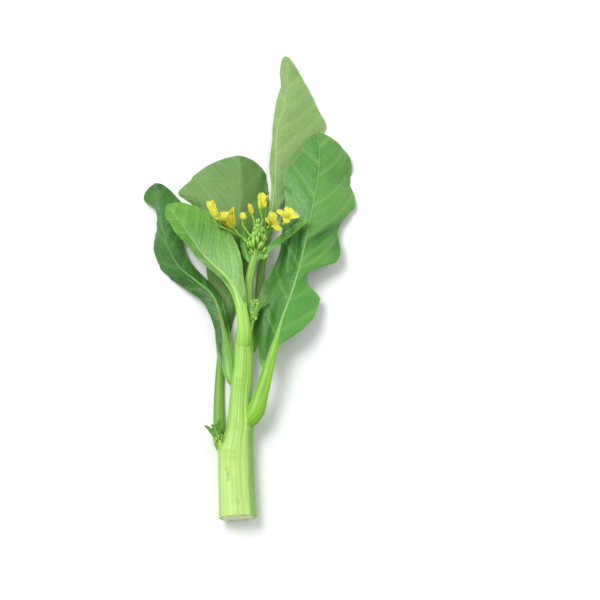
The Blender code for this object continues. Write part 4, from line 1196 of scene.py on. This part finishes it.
def tinyLeaf(foot, facing, out, size, curl, finish, seed):
    # a small crinkled leaf that hugs its shoot, its edges rolled in and its tip rounded and bent
    length, width = size
    side = facing.cross(out).normalized()
    f, o, d = (np.array(v) for v in (facing, out, side))

    def form(s, t):
        half = width * keyed(tinyProfile, t) * (1 + 0.12 * ripple(t * 14 + s, seed))
        bend = curl * t**2 * 0.9
        rise = 1.5 * np.sin(bend) - 0.5 * half * s * s + 0.34 * ripple(t * 12 + s * 2.8, seed + 2) * (0.2 + t)
        run = length * t * (1 - 0.12 * bend * t)
        roll = s * half * (1 - 0.16 * s * s)
        return np.array(foot) + f * run[..., None] + d * roll[..., None] + o * rise[..., None], tinyHalf

    leaf = slabForm("tinyLeaf", 18, 30, form, "veinWay")
    writePoints(leaf, inPlace(readPoints(leaf)))
    across, up, _ = (np.array([d.vector[i] for d in leaf.data.attributes["veinWay"].data]) for i in range(3))
    leaf.data.attributes.remove(leaf.data.attributes["veinWay"])
    writeField(leaf, "veinWay", up * 5, np.abs(across), np.abs(across) * width / 0.3)
    writeField(leaf, "bladeWay", 1, smoothStep(up * 4), 1.6)
    writeField(leaf, "stalkWay", across * width, 0, up * length)
    setMaterials(leaf, finish)
    return leaf


def makeSideShoot(name, shoot):
    rng = random.Random(shoot["seed"])
    foot, tip = Vector(shoot["foot"]), Vector(shoot["tip"])
    along = (tip - foot).normalized()
    span = (tip - foot).length
    basis = basisFor(along)
    parts = [rodAlong("sideStalk", [foot - along * 2, foot + along * span * 0.3, foot + along * span * 0.6],
                      [(0, 1.5), (0.5, 1.3), (1, 0.8)], 14, 16)]
    bud = budTemplate(14, 10)
    for k in range(shoot["buds"]):
        turn = k * goldenAngle
        out = basis @ Vector((math.cos(turn), math.sin(turn), 0))
        begin = foot + along * span * (0.15 + 0.5 * k / shoot["buds"])
        facing = (along + out * (0.75 - 0.5 * k / shoot["buds"])).normalized()
        end = begin + facing * (3.2 + rng.uniform(-0.9, 0.9))
        parts.append(rodAlong("tinyStalk", [begin, (begin + end) / 2, end], [(0, 0.42), (1, 0.36)], 7, 4))
        size = rng.uniform(0.42, 0.66)
        form = Matrix.Diagonal((1.25 * size, 1.25 * size, 3.6 * size))
        parts.append(copyTo(bud, placed(end - facing * 0.4, basisFor(facing, turn) @ form)))
    for each in parts:
        setMaterials(each, budSkin)
    for k, (degrees, share, width, curl) in enumerate(shoot["leaves"]):
        turn = math.radians(degrees)
        out = basis @ Vector((math.cos(turn), math.sin(turn), 0))
        facing = (along + out * 0.28).normalized()
        begin, size = foot + along * (0.5 + k), (span * share, width)
        parts.append(tinyLeaf(begin, facing, out, size, curl, shoot["finish"], shoot["seed"] + k))
    bpy.data.objects.remove(bud)
    piece = joinAll(parts, name)
    finishPiece(piece, shoot["node"])


for name, shoot in sideShoots.items():
    makeSideShoot(name, shoot)
print("side shoots made")


# stage, lights and camera

stage = {
    "floorSize": 4.0,
    "floor": srgb(246, 247, 247),
    "floorHaze": srgb(243, 245, 245),
    "world": 0.62,
    "key": {"place": (-0.50, 0.38, 1.20), "size": 0.75, "power": 12.5},
    "fill": {"place": (0.9, 0.1, 1.1), "size": 1.0, "power": 2.5},
    "aim": (34.5, -6.9, 8.0),  # mm, in the tables' numbers
    "distance": 900.0,
    "elevation": 72.0,
    "lens": 90.0,
    "sensor": 36.0,
}


def floorFinish():
    made = Finish("paleFloor", 0.7, **{"Specular IOR Level": 0.2})
    haze = made.clouds(made.place(), 6.0, 2.0)
    made.colour(made.blend(haze.step(0.3, 0.7), stage["floor"], stage["floorHaze"]))
    return made.made


deselectAll()
bpy.ops.mesh.primitive_plane_add(size=stage["floorSize"])
floor = bpy.context.object
floor.name = "floor"
setMaterials(floor, floorFinish())

for lamp in ("key", "fill"):
    values = stage[lamp]
    bpy.ops.object.light_add(type="AREA", location=values["place"])
    light = bpy.context.object
    light.name = lamp + "Light"
    light.data.shape = "DISK"
    light.data.size = values["size"]
    light.data.energy = values["power"]
    light.rotation_euler = (-Vector(values["place"])).to_track_quat("-Z", "Y").to_euler()

world = bpy.data.worlds.new("studio")
world.use_nodes = True
world.node_tree.nodes["Background"].inputs["Color"].default_value = (1.0, 1.0, 1.0, 1.0)
world.node_tree.nodes["Background"].inputs["Strength"].default_value = stage["world"]
bpy.context.scene.world = world
bpy.context.scene.view_settings.view_transform = "Standard"

aim = Vector(inPlace(stage["aim"]))
tilt = math.radians(stage["elevation"])
back = Vector((0, -math.cos(tilt), math.sin(tilt))) * stage["distance"] * mm
bpy.ops.object.camera_add(location=aim + back, rotation=(math.pi / 2 - tilt, 0, 0))
camera = bpy.context.object
camera.name = "studioCamera"
camera.data.lens = stage["lens"]
camera.data.sensor_width = stage["sensor"]
bpy.context.scene.camera = camera
print("stage set")
